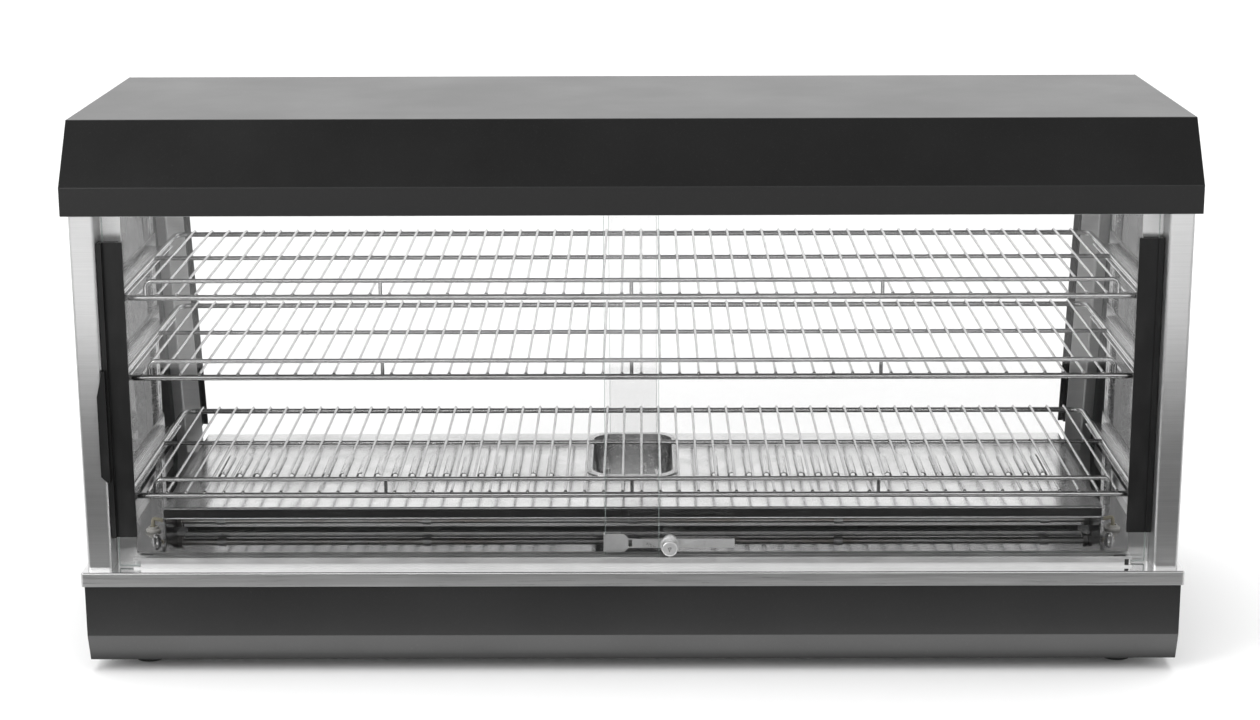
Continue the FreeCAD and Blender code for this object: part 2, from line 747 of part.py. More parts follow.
def make_doors():
    outer_handle = make_handle(FRONT_WALL, "outer").fuse(make_grip(FRONT_WALL)).removeSplitter()
    handles = {
        "front_left": mirrored(outer_handle),
        "front_right": make_handle(FRONT_WALL, "inner"),
        "rear_left": mirrored(make_handle(REAR_WALL, "inner")),
        "rear_right": make_handle(REAR_WALL, "outer"),
    }
    layout = (("front_left", FRONT_WALL, -1, "outer"), ("front_right", FRONT_WALL, 1, "inner"),
              ("rear_left", REAR_WALL, -1, "inner"), ("rear_right", REAR_WALL, 1, "outer"))
    for name, wall, side, place in layout:
        low, high = pane_span(side)
        near = PANE_DEPTHS[place]
        pane = wall.block(low, high, near, near + PANE, PANE_BOTTOM, PANE_TOP)
        save("%s_pane" % name, ground_edges(pane))
        save("%s_handle" % name, handles[name])


# ---------------------------------------------------------------- lock

def make_ratchet_bar():
    """Toothed bar with a hooked end that wraps the free edge of the inner front pane."""
    inside = -OVERLAP / 2 - HOOK_GAP
    outside = inside - BAR_THICKNESS
    top = LOCK_Z + BAR_HALF_HEIGHT
    bottom = LOCK_Z - BAR_HALF_HEIGHT
    hook_top = LOCK_Z + HOOK_HALF_HEIGHT
    hook_bottom = LOCK_Z - HOOK_HALF_HEIGHT
    outline = [(outside, hook_bottom), (HOOK_SHOULDER, hook_bottom), (HOOK_NECK, bottom),
               (BAR_END - 2, bottom), (BAR_END, bottom + 2), (BAR_END, top - TOOTH_DEPTH)]
    tooth_count = int((BAR_END - BAR_PLAIN) / TOOTH_PITCH)
    for index in range(tooth_count):
        x = BAR_END - 1 - TOOTH_PITCH * index
        outline += [(x, top), (x - TOOTH_PITCH, top - TOOTH_DEPTH)]
    outline += [(HOOK_NECK, top), (HOOK_SHOULDER, hook_top), (outside, hook_top)]
    face = polygon_face([Vector(x, BAR_FRONT, z) for x, z in outline])
    bar = face.extrude(Vector(0, BAR_THICKNESS, 0))
    window = box(HOOK_NECK, 0, BAR_FRONT - 1, BAR_FRONT + 3,
                 LOCK_Z - WINDOW_HALF_HEIGHT, LOCK_Z + WINDOW_HALF_HEIGHT)
    leg_front = FRONT_FACE + PANE_DEPTHS["inner"] + PANE + HOOK_GAP
    leg_rear = leg_front + BAR_THICKNESS
    web = box(outside, inside, BAR_FRONT, leg_rear, hook_bottom, hook_top)
    leg = box(outside, inside + HOOK_LEG, leg_front, leg_rear, hook_bottom, hook_top)
    save("ratchet_bar", bar.cut(window).multiFuse([web, leg]).removeSplitter())


def make_lock_barrel():
    """Cylinder lock that slides along the ratchet bar and stops the outer pane's free edge."""
    rear_face = FRONT_FACE + PANE_DEPTHS["inner"] - 0.5
    flange_rear = BARREL_FLANGE_REAR
    body = cylinder(BARREL_BODY_RADIUS, (LOCK_X, rear_face, LOCK_Z), FORWARD, rear_face - flange_rear)
    seat = (LOCK_X, flange_rear, LOCK_Z)
    flange = cylinder(BARREL_FLANGE_RADIUS, seat, FORWARD, BARREL_FLANGE_THICKNESS)
    nose = cylinder(BARREL_RADIUS, (LOCK_X, flange_rear, LOCK_Z), FORWARD, flange_rear - BARREL_FACE)
    rim = [edge for edge in nose.Edges if edge.BoundBox.YMax < BARREL_FACE + 0.1]
    nose = nose.makeFillet(BARREL_ROUND, rim)
    barrel = body.multiFuse([flange, nose])
    slot_half = BAR_HALF_HEIGHT + BAR_CLEARANCE
    slot_front = BAR_FRONT - BAR_CLEARANCE
    slot_rear = BAR_FRONT + BAR_THICKNESS + BAR_CLEARANCE
    slot = box(LOCK_X - 20, LOCK_X + 20, slot_front, slot_rear, LOCK_Z - slot_half, LOCK_Z + slot_half)
    plug_rear = BARREL_FACE + PLUG_LENGTH - BAR_CLEARANCE
    bore_rear = (LOCK_X, plug_rear + BAR_CLEARANCE, LOCK_Z)
    bore = cylinder(PLUG_RADIUS + PLUG_CLEARANCE, bore_rear, FORWARD, PLUG_LENGTH + 1)
    save("lock_barrel", barrel.cut(slot).cut(bore))
    plug = cylinder(PLUG_RADIUS, (LOCK_X, plug_rear, LOCK_Z), FORWARD, PLUG_LENGTH)
    keyway = box(LOCK_X - KEYWAY_WIDTH / 2, LOCK_X + KEYWAY_WIDTH / 2, BARREL_FACE - 1, BARREL_FACE + 7,
                 LOCK_Z - KEYWAY_DOWN, LOCK_Z + KEYWAY_UP)
    keyhole = cylinder(KEYHOLE_RADIUS, (LOCK_X, BARREL_FACE + 5, LOCK_Z + 1), FORWARD, 6)
    save("lock_plug", plug.cut(keyway).cut(keyhole))


# ---------------------------------------------------------------- shelves and their supports

def wire_positions():
    pitch = 2 * WIRE_SPAN / (WIRE_COUNT - 1)
    return [-WIRE_SPAN + pitch * index for index in range(WIRE_COUNT)]


def make_shelf(name, level):
    """Wire shelf: a rail round the edge, a rail across the middle, and wires welded over both."""
    x0, x1 = -SHELF_HALF_WIDTH + RAIL_RADIUS, SHELF_HALF_WIDTH - RAIL_RADIUS
    y0, y1 = SHELF_FRONT + RAIL_RADIUS, SHELF_REAR - RAIL_RADIUS
    ring = ring_rod(x0, x1, y0, y1, level, SHELF_CORNER, RAIL_RADIUS)
    wire_z = level + RAIL_RADIUS + WIRE_RADIUS - WELD_SINK
    cross_z = wire_z - WIRE_RADIUS - CROSS_RAIL_RADIUS + WELD_SINK
    pieces = [cylinder(CROSS_RAIL_RADIUS, (x0, 0, cross_z), RIGHT, x1 - x0)]
    for x in wire_positions():
        pieces.append(cylinder(WIRE_RADIUS, (x, y0 - 1, wire_z), BACK, y1 - y0 + 2))
    save("%s_shelf" % name, ring.multiFuse(pieces))


def make_fence(level):
    """Low rail along a shelf's front edge, which keeps trays off the doors."""
    y = SHELF_FRONT + RAIL_RADIUS
    foot = level + RAIL_RADIUS
    top = level + FENCE_RISE
    ends = [Vector(-FENCE_HALF_WIDTH, y, foot), Vector(-FENCE_HALF_WIDTH, y, top),
            Vector(FENCE_HALF_WIDTH, y, top), Vector(FENCE_HALF_WIDTH, y, foot)]
    rail = rod(ends, FENCE_BEND, FENCE_RADIUS)
    struts = [cylinder(FENCE_STRUT_RADIUS, (x, y, foot), UP, top - foot) for x in FENCE_STRUTS]
    return rail.multiFuse(struts)


def make_ledges():
    """Angle brackets that carry the shelf ends, hooked into the slotted standards."""
    ledges = []
    for level in SHELF_LEVELS.values():
        top = level - RAIL_RADIUS
        bottom = top - THIN_SHEET
        path = [(LEDGE_INNER, bottom), (LEDGE_OUTER, bottom), (LEDGE_OUTER, top + LEDGE_HEIGHT)]
        face = folded_face(path, THIN_SHEET, lambda x, z: Vector(x, STANDARD_FRONT, z), TIGHT_BEND)
        ledge = face.extrude(Vector(0, STANDARD_REAR + STANDARD_DEPTH - STANDARD_FRONT, 0))
        slot = FIRST_SLOT + SLOT_PITCH * round((level + 2 - FIRST_SLOT) / SLOT_PITCH)
        hooks = []
        for y in (STANDARD_FRONT + STANDARD_DEPTH / 2, STANDARD_REAR + STANDARD_DEPTH / 2):
            hooks.append(box(LEDGE_OUTER - 0.5, STANDARD_OUTER - 5, y - 1, y + 1,
                             slot + 1.5, slot + 6.5))
        ledges.append(ledge.multiFuse(hooks).removeSplitter())
    save("shelf_ledges", group(ledges + [mirrored(ledge) for ledge in ledges]))


def make_standards():
    """Slotted uprights beside the posts. The shelf brackets hook into their slots."""
    standards = []
    for y0 in (STANDARD_FRONT, STANDARD_REAR):
        y1 = y0 + STANDARD_DEPTH
        inner = LEDGE_OUTER + 0.4
        path = [(STANDARD_OUTER, y0), (inner, y0), (inner, y1), (STANDARD_OUTER, y1)]
        face = folded_face(path[::-1], THIN_SHEET, lambda x, y: Vector(x, y, DECK_TOP), TIGHT_BEND)
        standard = face.extrude(Vector(0, 0, STANDARD_TOP - DECK_TOP))
        near = (y0 + y1 - SLOT_WIDTH) / 2
        slots = []
        z = FIRST_SLOT
        while z + SLOT_HEIGHT < STANDARD_TOP - 5:
            slots.append(box(inner - 1, inner + 3, near, near + SLOT_WIDTH, z, z + SLOT_HEIGHT))
            z += SLOT_PITCH
        standard = standard.cut(slots)
        standards += [standard, mirrored(standard)]
    save("slotted_standards", group(standards))


# ---------------------------------------------------------------- heater cover, heater and water pan

def louvre_positions():
    right = [LOUVRE_FIRST + LOUVRE_PITCH * index for index in range(LOUVRE_COUNT)]
    return right + [-x for x in right]


def make_louvre(x):
    """Raised half-round hood over a slot, open at its front end and closed by a dome at its back."""
    length = LOUVRE_REAR - LOUVRE_FRONT - LOUVRE_RADIUS
    floor = COVER_TOP - THIN_SHEET
    centre = COVER_TOP - LOUVRE_SINK
    back = LOUVRE_FRONT + length
    solids = []
    for radius in (LOUVRE_RADIUS, LOUVRE_RADIUS - LOUVRE_WALL):
        tube = cylinder(radius, (x, LOUVRE_FRONT, centre), BACK, length)
        dome = Part.makeSphere(radius, Vector(x, back, centre))
        solids.append(tube.fuse(dome))
    shell = solids[0].cut(solids[1])
    return shell.common(box(x - 9, x + 9, LOUVRE_FRONT, LOUVRE_REAR + 5, floor, COVER_TOP + LOUVRE_RADIUS))


def make_louvre_cover():
    """Bridge-shaped cover over the heater, with a hemmed lip along its front and its back."""
    bottom = COVER_TOP - COVER_LIP
    path = [(COVER_FRONT + COVER_HEM, bottom), (COVER_FRONT, bottom), (COVER_FRONT, COVER_TOP),
            (COVER_REAR, COVER_TOP), (COVER_REAR, bottom), (COVER_REAR - COVER_HEM, bottom)]
    top = folded_along_x(path[::-1], THIN_SHEET, -COVER_HALF_WIDTH, COVER_HALF_WIDTH, TIGHT_BEND)
    slots = []
    half = LOUVRE_SLOT / 2
    slot_end = LOUVRE_REAR - LOUVRE_RADIUS
    for x in louvre_positions():
        slots.append(box(x - half, x + half, LOUVRE_FRONT, slot_end, COVER_TOP - 3, COVER_TOP + 1))
    margin = PAN_RIM - 1
    pan_hole = rounded_block(-PAN_HALF_WIDTH + margin, PAN_HALF_WIDTH - margin, PAN_FRONT + margin,
                             PAN_REAR - margin, COVER_TOP - 3, COVER_TOP + 1, PAN_CORNER)
    top = top.cut(slots + [pan_hole])
    cheek = box(COVER_HALF_WIDTH - THIN_SHEET, COVER_HALF_WIDTH, COVER_FRONT + 4, COVER_REAR - 4,
                DECK_TOP, COVER_TOP - THIN_SHEET)
    cheek = cheek.cut(cylinder(HEATER_HOLE_RADIUS, (0, HEATER_Y, HEATER_Z), RIGHT, HALF_WIDTH))
    louvres = [make_louvre(x) for x in louvre_positions()]
    cover = top.multiFuse([cheek, mirrored(cheek)] + louvres)
    save("louvred_heater_cover", cover.removeSplitter())


def pan_level(inset, z, radius):
    half = PAN_HALF_WIDTH - inset
    near, far = PAN_FRONT + inset, PAN_REAR - inset
    corners = [(-half, near), (half, near), (half, far), (-half, far)]
    return rounded_wire([Vector(x, y, z) for x, y in corners], [radius] * 4)


def make_water_pan():
    """Lift-out pan that hangs by its rim in the heater cover."""
    seat = COVER_TOP + PAN_CLEARANCE
    top = seat + PAN_SHEET
    bottom = top - PAN_DEPTH
    inside = PAN_RIM + PAN_SHEET
    outer = Part.makeLoft([pan_level(PAN_RIM, top, PAN_CORNER - 2),
                           pan_level(PAN_RIM + PAN_TAPER, bottom, PAN_CORNER - 4)], True)
    inner = Part.makeLoft([pan_level(inside, top + 0.1, PAN_CORNER - 3),
                           pan_level(inside + PAN_TAPER, bottom + PAN_SHEET, PAN_CORNER - 5)], True)
    rim = Part.Face(pan_level(0.0, seat, PAN_CORNER)).extrude(Vector(0, 0, PAN_SHEET))
    save("water_pan", rim.fuse(outer).cut(inner).removeSplitter())


def make_heater():
    """Straight tubular element through both cheeks of the cover, with nuts and a terminal pin at each end."""
    tube = cylinder(HEATER_RADIUS, (-HEATER_END, HEATER_Y, HEATER_Z), RIGHT, 2 * HEATER_END)
    ends = []
    for start, end in (INNER_NUT, OUTER_NUT):
        centre = Vector(start, HEATER_Y, HEATER_Z)
        ends.append(hexagon_prism(centre, NUT_SIZE, Vector(*BACK), Vector(*UP), end - start))
    ends.append(cylinder(PIN_RADIUS, (HEATER_END, HEATER_Y, HEATER_Z), RIGHT, PIN_LENGTH))
    save("heater_tube", tube.multiFuse(ends + [mirrored(end) for end in ends]).removeSplitter())


def make_heater_carrier():
    """Folded strip on the deck behind the heater tube, with straps round the tube."""
    path = [(CARRIER_FRONT, CARRIER_TOP - CARRIER_LIP), (CARRIER_FRONT, CARRIER_TOP),
            (CARRIER_STEP, CARRIER_TOP), (CARRIER_STEP, DECK_TOP), (CARRIER_REAR, DECK_TOP)]
    strip = folded_along_x(path, THIN_SHEET, -CARRIER_HALF_LENGTH, CARRIER_HALF_LENGTH, TIGHT_BEND)
    bore_radius = HEATER_RADIUS + STRAP_GAP
    straps = []
    for x in STRAP_XS:
        start = (x - STRAP_WIDTH / 2, HEATER_Y, HEATER_Z)
        ring = cylinder(bore_radius + THIN_SHEET, start, RIGHT, STRAP_WIDTH)
        tab = box(start[0], start[0] + STRAP_WIDTH, HEATER_Y, CARRIER_FRONT + 1,
                  CARRIER_TOP, CARRIER_TOP + THIN_SHEET)
        straps.append(ring.fuse(tab).cut(cylinder(bore_radius, start, RIGHT, STRAP_WIDTH)))
    save("heater_carrier", strip.multiFuse(straps).removeSplitter())


# ---------------------------------------------------------------- hood

def hood_outline():
    return [(FRONT, HOOD_BOTTOM), (FRONT, HOOD_BEND), (HOOD_TOP_FRONT, HEIGHT), (HOOD_TOP_REAR, HEIGHT),
            (HOOD_REAR_LIP, HOOD_BEND), (HOOD_REAR_LIP, HOOD_BOTTOM)]


def make_hood():
    outline = hood_outline()
    shell = folded_along_x(outline[::-1], SHEET, -HALF_WIDTH + SHEET, HALF_WIDTH - SHEET)
    holes = [screw_hole(x, HOOD_REAR_LIP, HOOD_SCREW_Z) for x in HOOD_SCREW_XS]
    save("hood_shell", shell.cut(holes))
    end = plate_in_yz(outline, HALF_WIDTH - SHEET, HALF_WIDTH)
    outer_edges = [edge for edge in end.Edges if edge.BoundBox.XMin > HALF_WIDTH - 0.1]
    end = end.makeFillet(1.0, outer_edges)
    save("hood_ends", both_sides(end))


def make_ceiling():
    """Stainless liner that closes the chamber, with two lamp openings."""
    rear = REAR_FACE + REAR_LEAN * (CEILING_Z - DECK_TOP) + 6
    half = POST_FLANGE - 1.0
    plate = box(-half, half, FRONT_FACE + 4, rear - 6, CEILING_Z, CEILING_Z + THIN_SHEET)
    sides = []
    for x0, x1 in ((-HALF_WIDTH + 2, -half), (half, HALF_WIDTH - 2)):
        sides.append(box(x0, x1, FRONT_FACE + POST_SIDE_DEPTH + 2, rear - POST_SIDE_DEPTH - 10,
                         CEILING_Z, CEILING_Z + THIN_SHEET))
    plate = plate.multiFuse(sides).removeSplitter()
    holes = [cylinder(LAMP_RADIUS - 4, (x, LAMP_Y, CEILING_Z - 1), UP, 5) for x in (-LAMP_X, LAMP_X)]
    save("ceiling_liner", plate.cut(holes))


def make_lamps():
    """Two chamber lamps above the liner: lens, reflector can, socket and bulb."""
    base = CEILING_Z + THIN_SHEET
    lenses = []
    cans = []
    sockets = []
    bulbs = []
    for x in (-LAMP_X, LAMP_X):
        seat = (x, LAMP_Y, base)
        socket_seat = (x, LAMP_Y, base + SOCKET_BOTTOM)
        lenses.append(cylinder(LAMP_RADIUS - 2, seat, UP, LENS_THICKNESS))
        can = cylinder(LAMP_RADIUS, seat, UP, REFLECTOR_HEIGHT)
        can = can.cut(cylinder(LAMP_RADIUS - THIN_SHEET, seat, UP, REFLECTOR_HEIGHT - THIN_SHEET))
        cans.append(can.cut(cylinder(SOCKET_RADIUS + 0.3, socket_seat, UP, SOCKET_LENGTH)))
        sockets.append(cylinder(SOCKET_RADIUS, socket_seat, UP, SOCKET_LENGTH))
        globe = Part.makeSphere(BULB_RADIUS, Vector(x, LAMP_Y, base + BULB_Z))
        neck = cylinder(BULB_NECK_RADIUS, (x, LAMP_Y, base + BULB_Z), UP, SOCKET_BOTTOM - BULB_Z)
        bulbs.append(globe.fuse(neck).removeSplitter())
    save("lamp_lenses", group(lenses))
    save("lamp_reflectors", group(cans))
    save("lamp_sockets", group(sockets))
    save("lamp_bulbs", group(bulbs))


def screw_hole(x, y, z):
    """Hole for a case screw through a rear sheet whose outer face is at the given point."""
    return cylinder(SCREW_RADIUS + SCREW_CLEARANCE, (x, y - SCREW_LENGTH, z), BACK, 2 * SCREW_LENGTH)


def case_screw(x, y, z):
    """Small domed screw with a cross recess, whose head stands on a rear face."""
    ball = Part.makeSphere(SCREW_DOME_RADIUS, Vector(x, y - SCREW_DOME_SINK, z))
    head = ball.common(cylinder(SCREW_DOME_RADIUS + 1, (x, y, z), BACK, SCREW_DOME_RADIUS))
    shank = cylinder(SCREW_RADIUS, (x, y - SCREW_LENGTH, z), BACK, SCREW_LENGTH + 0.5)
    arm = SCREW_RECESS
    half = SCREW_RECESS_WIDTH / 2
    floor = y + SCREW_RECESS_FLOOR
    across = box(x - arm, x + arm, floor, floor + 2, z - half, z + half)
    upright = box(x - half, x + half, floor, floor + 2, z - arm, z + arm)
    return head.fuse(shank).cut([across, upright])


def make_screws():
    screws = [case_screw(x, REAR - BASE_FACE_INSET, REAR_SCREW_Z) for x in REAR_SCREW_XS]
    screws += [case_screw(x, HOOD_REAR_LIP, HOOD_SCREW_Z) for x in HOOD_SCREW_XS]
    save("case_screws", group(screws))


# ---------------------------------------------------------------- controls

def make_control_tray():
    """Recessed panel for the controls, open to the back."""
    x0, x1 = RECESS_LEFT - TRAY_LIP, RECESS_RIGHT + TRAY_LIP
    z0, z1 = RECESS_BOTTOM - TRAY_LIP, RECESS_TOP + TRAY_LIP
    rear = REAR - BASE_FACE_INSET - SHEET - 0.1
    outer = box(x0, x1, RECESS_FLOOR - SHEET, rear, z0, z1)
    inner = box(x0 + SHEET, x1 - SHEET, RECESS_FLOOR, REAR, z0 + SHEET, z1 - SHEET)
    back = RECESS_FLOOR - 5
    round_holes = ((KNOB_X, BUSHING_RADIUS), (LAMP_SIGNAL_X, SIGNAL_RADIUS), (GLAND_X, GLAND_THREAD_RADIUS))
    holes = [cylinder(radius + HOLE_GAP, (x, back, CONTROL_Z), BACK, 10) for x, radius in round_holes]
    half_width = SWITCH_HALF_WIDTH + HOLE_GAP
    half_height = SWITCH_HALF_HEIGHT + HOLE_GAP
    for x in SWITCH_XS.values():
        holes.append(box(x - half_width, x + half_width, back, back + 10,
                         CONTROL_Z - half_height, CONTROL_Z + half_height))
    save("control_tray", outer.cut(inner).cut(holes))


def make_thermostat():
    """Thermostat with its turning spindle and knob."""
    half = THERMOSTAT_HALF
    rear = RECESS_FLOOR - SHEET - HOLE_GAP
    body = box(KNOB_X - half, KNOB_X + half, THERMOSTAT_FRONT, rear, CONTROL_Z - half, CONTROL_Z + half)
    bushing = cylinder(BUSHING_RADIUS, (KNOB_X, rear - 1, CONTROL_Z), BACK, BUSHING_LENGTH)
    body = body.fuse(bushing).removeSplitter()
    bore = cylinder(SPINDLE_RADIUS + 0.05, (KNOB_X, SPINDLE_START - 0.5, CONTROL_Z), BACK, SPINDLE_LENGTH)
    save("thermostat_body", body.cut(bore))
    spindle = cylinder(SPINDLE_RADIUS, (KNOB_X, SPINDLE_START, CONTROL_Z), BACK, SPINDLE_LENGTH)
    save("thermostat_spindle", spindle)
    start = RECESS_FLOOR + KNOB_GAP
    skirt = Part.makeCone(16.5, 15, KNOB_SKIRT, Vector(KNOB_X, start, CONTROL_Z), Vector(*BACK))
    drum_start = start + KNOB_SKIRT
    drum = Part.makeCone(13, 12, 8, Vector(KNOB_X, drum_start, CONTROL_Z), Vector(*BACK))
    grip = box(KNOB_X - KNOB_GRIP_HALF_WIDTH, KNOB_X + KNOB_GRIP_HALF_WIDTH, drum_start - 1, drum_start + 12,
               CONTROL_Z - KNOB_GRIP_REACH, CONTROL_Z + KNOB_GRIP_REACH)
    knob = skirt.multiFuse([drum, grip]).removeSplitter()
    socket = cylinder(SPINDLE_RADIUS, (KNOB_X, SPINDLE_START, CONTROL_Z), BACK, SPINDLE_LENGTH)
    save("thermostat_knob", knob.cut(socket))


def make_switch_housing(x):
    """Framed housing with an open well for the rocker."""
    half_width = SWITCH_HALF_WIDTH
    half_height = SWITCH_HALF_HEIGHT
    rim = SWITCH_FRAME
    frame = box(x - half_width - rim, x + half_width + rim, RECESS_FLOOR, RECESS_FLOOR + 2,
                CONTROL_Z - half_height - rim, CONTROL_Z + half_height + rim)
    case = box(x - half_width, x + half_width, RECESS_FLOOR - SWITCH_DEPTH, RECESS_FLOOR + 1,
               CONTROL_Z - half_height, CONTROL_Z + half_height)
    half_well = half_width - SWITCH_WALL
    well_height = half_height - SWITCH_WALL
    well = box(x - half_well, x + half_well, RECESS_FLOOR - 14, RECESS_FLOOR + 5,
               CONTROL_Z - well_height, CONTROL_Z + well_height)
    reach = ROCKER_PIN_REACH + 0.1
    hole = cylinder(ROCKER_PIN_RADIUS + 0.05, (x - reach, ROCKER_PIVOT_Y, CONTROL_Z), RIGHT, 2 * reach)
    return frame.fuse(case).cut(well).removeSplitter().cut(hole)


def make_rocker(x):
    """Rocker on its pivot pin, tipped to the off position."""
    pin_start = (x - ROCKER_PIN_REACH, ROCKER_PIVOT_Y, CONTROL_Z)
    pin = cylinder(ROCKER_PIN_RADIUS, pin_start, RIGHT, 2 * ROCKER_PIN_REACH)
    root = ROCKER_PIVOT_Y - 5
    outline = [(root, -4), (ROCKER_PIVOT_Y, -ROCKER_HALF_HEIGHT), (ROCKER_CROWN_Y, -ROCKER_HALF_HEIGHT),
               (ROCKER_CROWN_Y - ROCKER_DISH, 0), (ROCKER_CROWN_Y, ROCKER_HALF_HEIGHT),
               (ROCKER_PIVOT_Y, ROCKER_HALF_HEIGHT), (root, 4)]
    outline = [(y, CONTROL_Z + rise) for y, rise in outline]
    rocker = plate_in_yz(outline, x - ROCKER_HALF_WIDTH, x + ROCKER_HALF_WIDTH).fuse(pin).removeSplitter()
    rocker.rotate(Vector(x, ROCKER_PIVOT_Y, CONTROL_Z), Vector(*RIGHT), -ROCKER_TILT)
    return rocker


def make_switches():
    save("switch_housings", group([make_switch_housing(x) for x in SWITCH_XS.values()]))
    for name, x in SWITCH_XS.items():
        save("%s_switch_rocker" % name, make_rocker(x))


def make_signal_lamp():
    stem = cylinder(SIGNAL_RADIUS, (LAMP_SIGNAL_X, RECESS_FLOOR - 14, CONTROL_Z), BACK, 16)
    flange = cylinder(SIGNAL_FLANGE_RADIUS, (LAMP_SIGNAL_X, RECESS_FLOOR, CONTROL_Z), BACK, 1.5)
    dome = Part.makeSphere(SIGNAL_RADIUS, Vector(LAMP_SIGNAL_X, RECESS_FLOOR + 2, CONTROL_Z))
    save("signal_lamp", stem.multiFuse([flange, dome]).removeSplitter())


def make_cord_gland():
    """Strain-relief gland with an open bore for the power cord."""
    thread = cylinder(GLAND_THREAD_RADIUS, (GLAND_X, RECESS_FLOOR - 12, CONTROL_Z), BACK, 14)
    seat = Vector(GLAND_X, RECESS_FLOOR, CONTROL_Z)
    flange = hexagon_prism(seat, GLAND_HEX_RADIUS, Vector(*UP), Vector(*RIGHT), GLAND_HEX_HEIGHT)
    nose_start = seat + Vector(0, GLAND_HEX_HEIGHT, 0)
    nose = Part.makeCone(9.5, 7.0, GLAND_NOSE_LENGTH, nose_start, Vector(*BACK))
    gland = thread.multiFuse([flange, nose])
    bore = cylinder(GLAND_BORE, (GLAND_X, RECESS_FLOOR - 13, CONTROL_Z), BACK, 40)
    save("cord_gland", gland.cut(bore).removeSplitter())


# ---------------------------------------------------------------- inside the base

def make_base_internals():
    """Terminal block on the base cover, and insulation under the deck."""
    front, back = TERMINAL_BLOCK_FRONT, TERMINAL_BLOCK_REAR
    half = TERMINAL_BLOCK_HALF_WIDTH
    block = box(-half, half, front, back, FOOT_HEIGHT + 2 * SHEET, TERMINAL_BLOCK_TOP)
    first = -TERMINAL_PITCH * (TERMINAL_COUNT - 1) / 2
    middle = (front + back) / 2
    screws = [cylinder(2.5, (first + TERMINAL_PITCH * index, middle, TERMINAL_BLOCK_TOP - 5), UP, 6)
              for index in range(TERMINAL_COUNT)]
    save("terminal_block", block.cut(screws))
    pads = [box(x0, x1, PAD_FRONT, PAD_REAR, PAD_BOTTOM, DECK_TOP - THIN_SHEET) for x0, x1 in PAD_SPANS]
    depth = DECK_TOP - PAD_BOTTOM
    studs = [cylinder(4, (x, y, PAD_BOTTOM), UP, depth) for x, y in stud_positions()]
    wires = [cylinder(6, (x, HEATER_Y, PAD_BOTTOM), UP, depth) for x in (-WIRE_HOLE_X, WIRE_HOLE_X)]
    save("insulation_pads", group(pads).cut(studs + wires))


def main():
    os.makedirs("parts", exist_ok=True)
    make_feet()
    make_base_bottom()
    make_base_panels()
    make_crossmembers()
    make_deck()
    make_dome_nuts()
    make_posts(FRONT_WALL, "front")
    make_posts(REAR_WALL, "rear")
    make_tracks(FRONT_WALL, "front")
    make_tracks(REAR_WALL, "rear")
    make_side_glass()
    make_doors()
    make_ratchet_bar()
    make_lock_barrel()
    fences = []
    for name, level in SHELF_LEVELS.items():
        make_shelf(name, level)
        fences.append(make_fence(level))
    save("shelf_fences", group(fences))
    make_ledges()
    make_standards()
    make_louvre_cover()
    make_water_pan()
    make_heater()
    make_heater_carrier()
    make_hood()
    make_ceiling()
    make_lamps()
    make_screws()
    make_control_tray()
    make_thermostat()
    make_switches()
    make_signal_lamp()
    make_cord_gland()
    make_base_internals()


main()
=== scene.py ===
import math

import bmesh
import bpy
from mathutils import Matrix, Vector, noise


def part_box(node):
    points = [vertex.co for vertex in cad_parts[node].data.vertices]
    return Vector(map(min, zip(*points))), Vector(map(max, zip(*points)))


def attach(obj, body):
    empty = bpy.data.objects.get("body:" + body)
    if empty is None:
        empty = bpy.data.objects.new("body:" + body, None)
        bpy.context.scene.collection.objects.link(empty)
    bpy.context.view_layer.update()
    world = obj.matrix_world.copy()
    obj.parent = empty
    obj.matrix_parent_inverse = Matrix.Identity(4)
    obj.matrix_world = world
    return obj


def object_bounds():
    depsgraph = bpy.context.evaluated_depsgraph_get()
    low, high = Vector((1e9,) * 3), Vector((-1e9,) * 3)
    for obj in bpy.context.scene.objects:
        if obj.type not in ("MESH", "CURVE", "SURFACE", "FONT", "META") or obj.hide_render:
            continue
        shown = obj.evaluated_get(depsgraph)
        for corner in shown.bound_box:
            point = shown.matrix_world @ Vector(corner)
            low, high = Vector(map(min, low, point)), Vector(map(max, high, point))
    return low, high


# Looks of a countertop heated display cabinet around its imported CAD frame: materials, small surface
# pieces, studio light, floor and camera. Metres, in the frame's own axes.

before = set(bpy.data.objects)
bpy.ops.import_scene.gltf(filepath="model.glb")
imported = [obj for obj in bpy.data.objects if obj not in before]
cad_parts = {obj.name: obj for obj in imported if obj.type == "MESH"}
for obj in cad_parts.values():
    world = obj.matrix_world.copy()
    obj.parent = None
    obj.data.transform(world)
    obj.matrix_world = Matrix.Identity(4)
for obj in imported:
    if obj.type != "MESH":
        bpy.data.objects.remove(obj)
cad_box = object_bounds()
LOW, HIGH = cad_box
scene = bpy.context.scene


# ---------------------------------------------------------------- node helpers

SHADER_SOCKETS = {
    "roughness": "Roughness",
    "metallic": "Metallic",
    "specular": "Specular IOR Level",
    "transmission": "Transmission Weight",
    "ior": "IOR",
    "anisotropy": "Anisotropic",
}


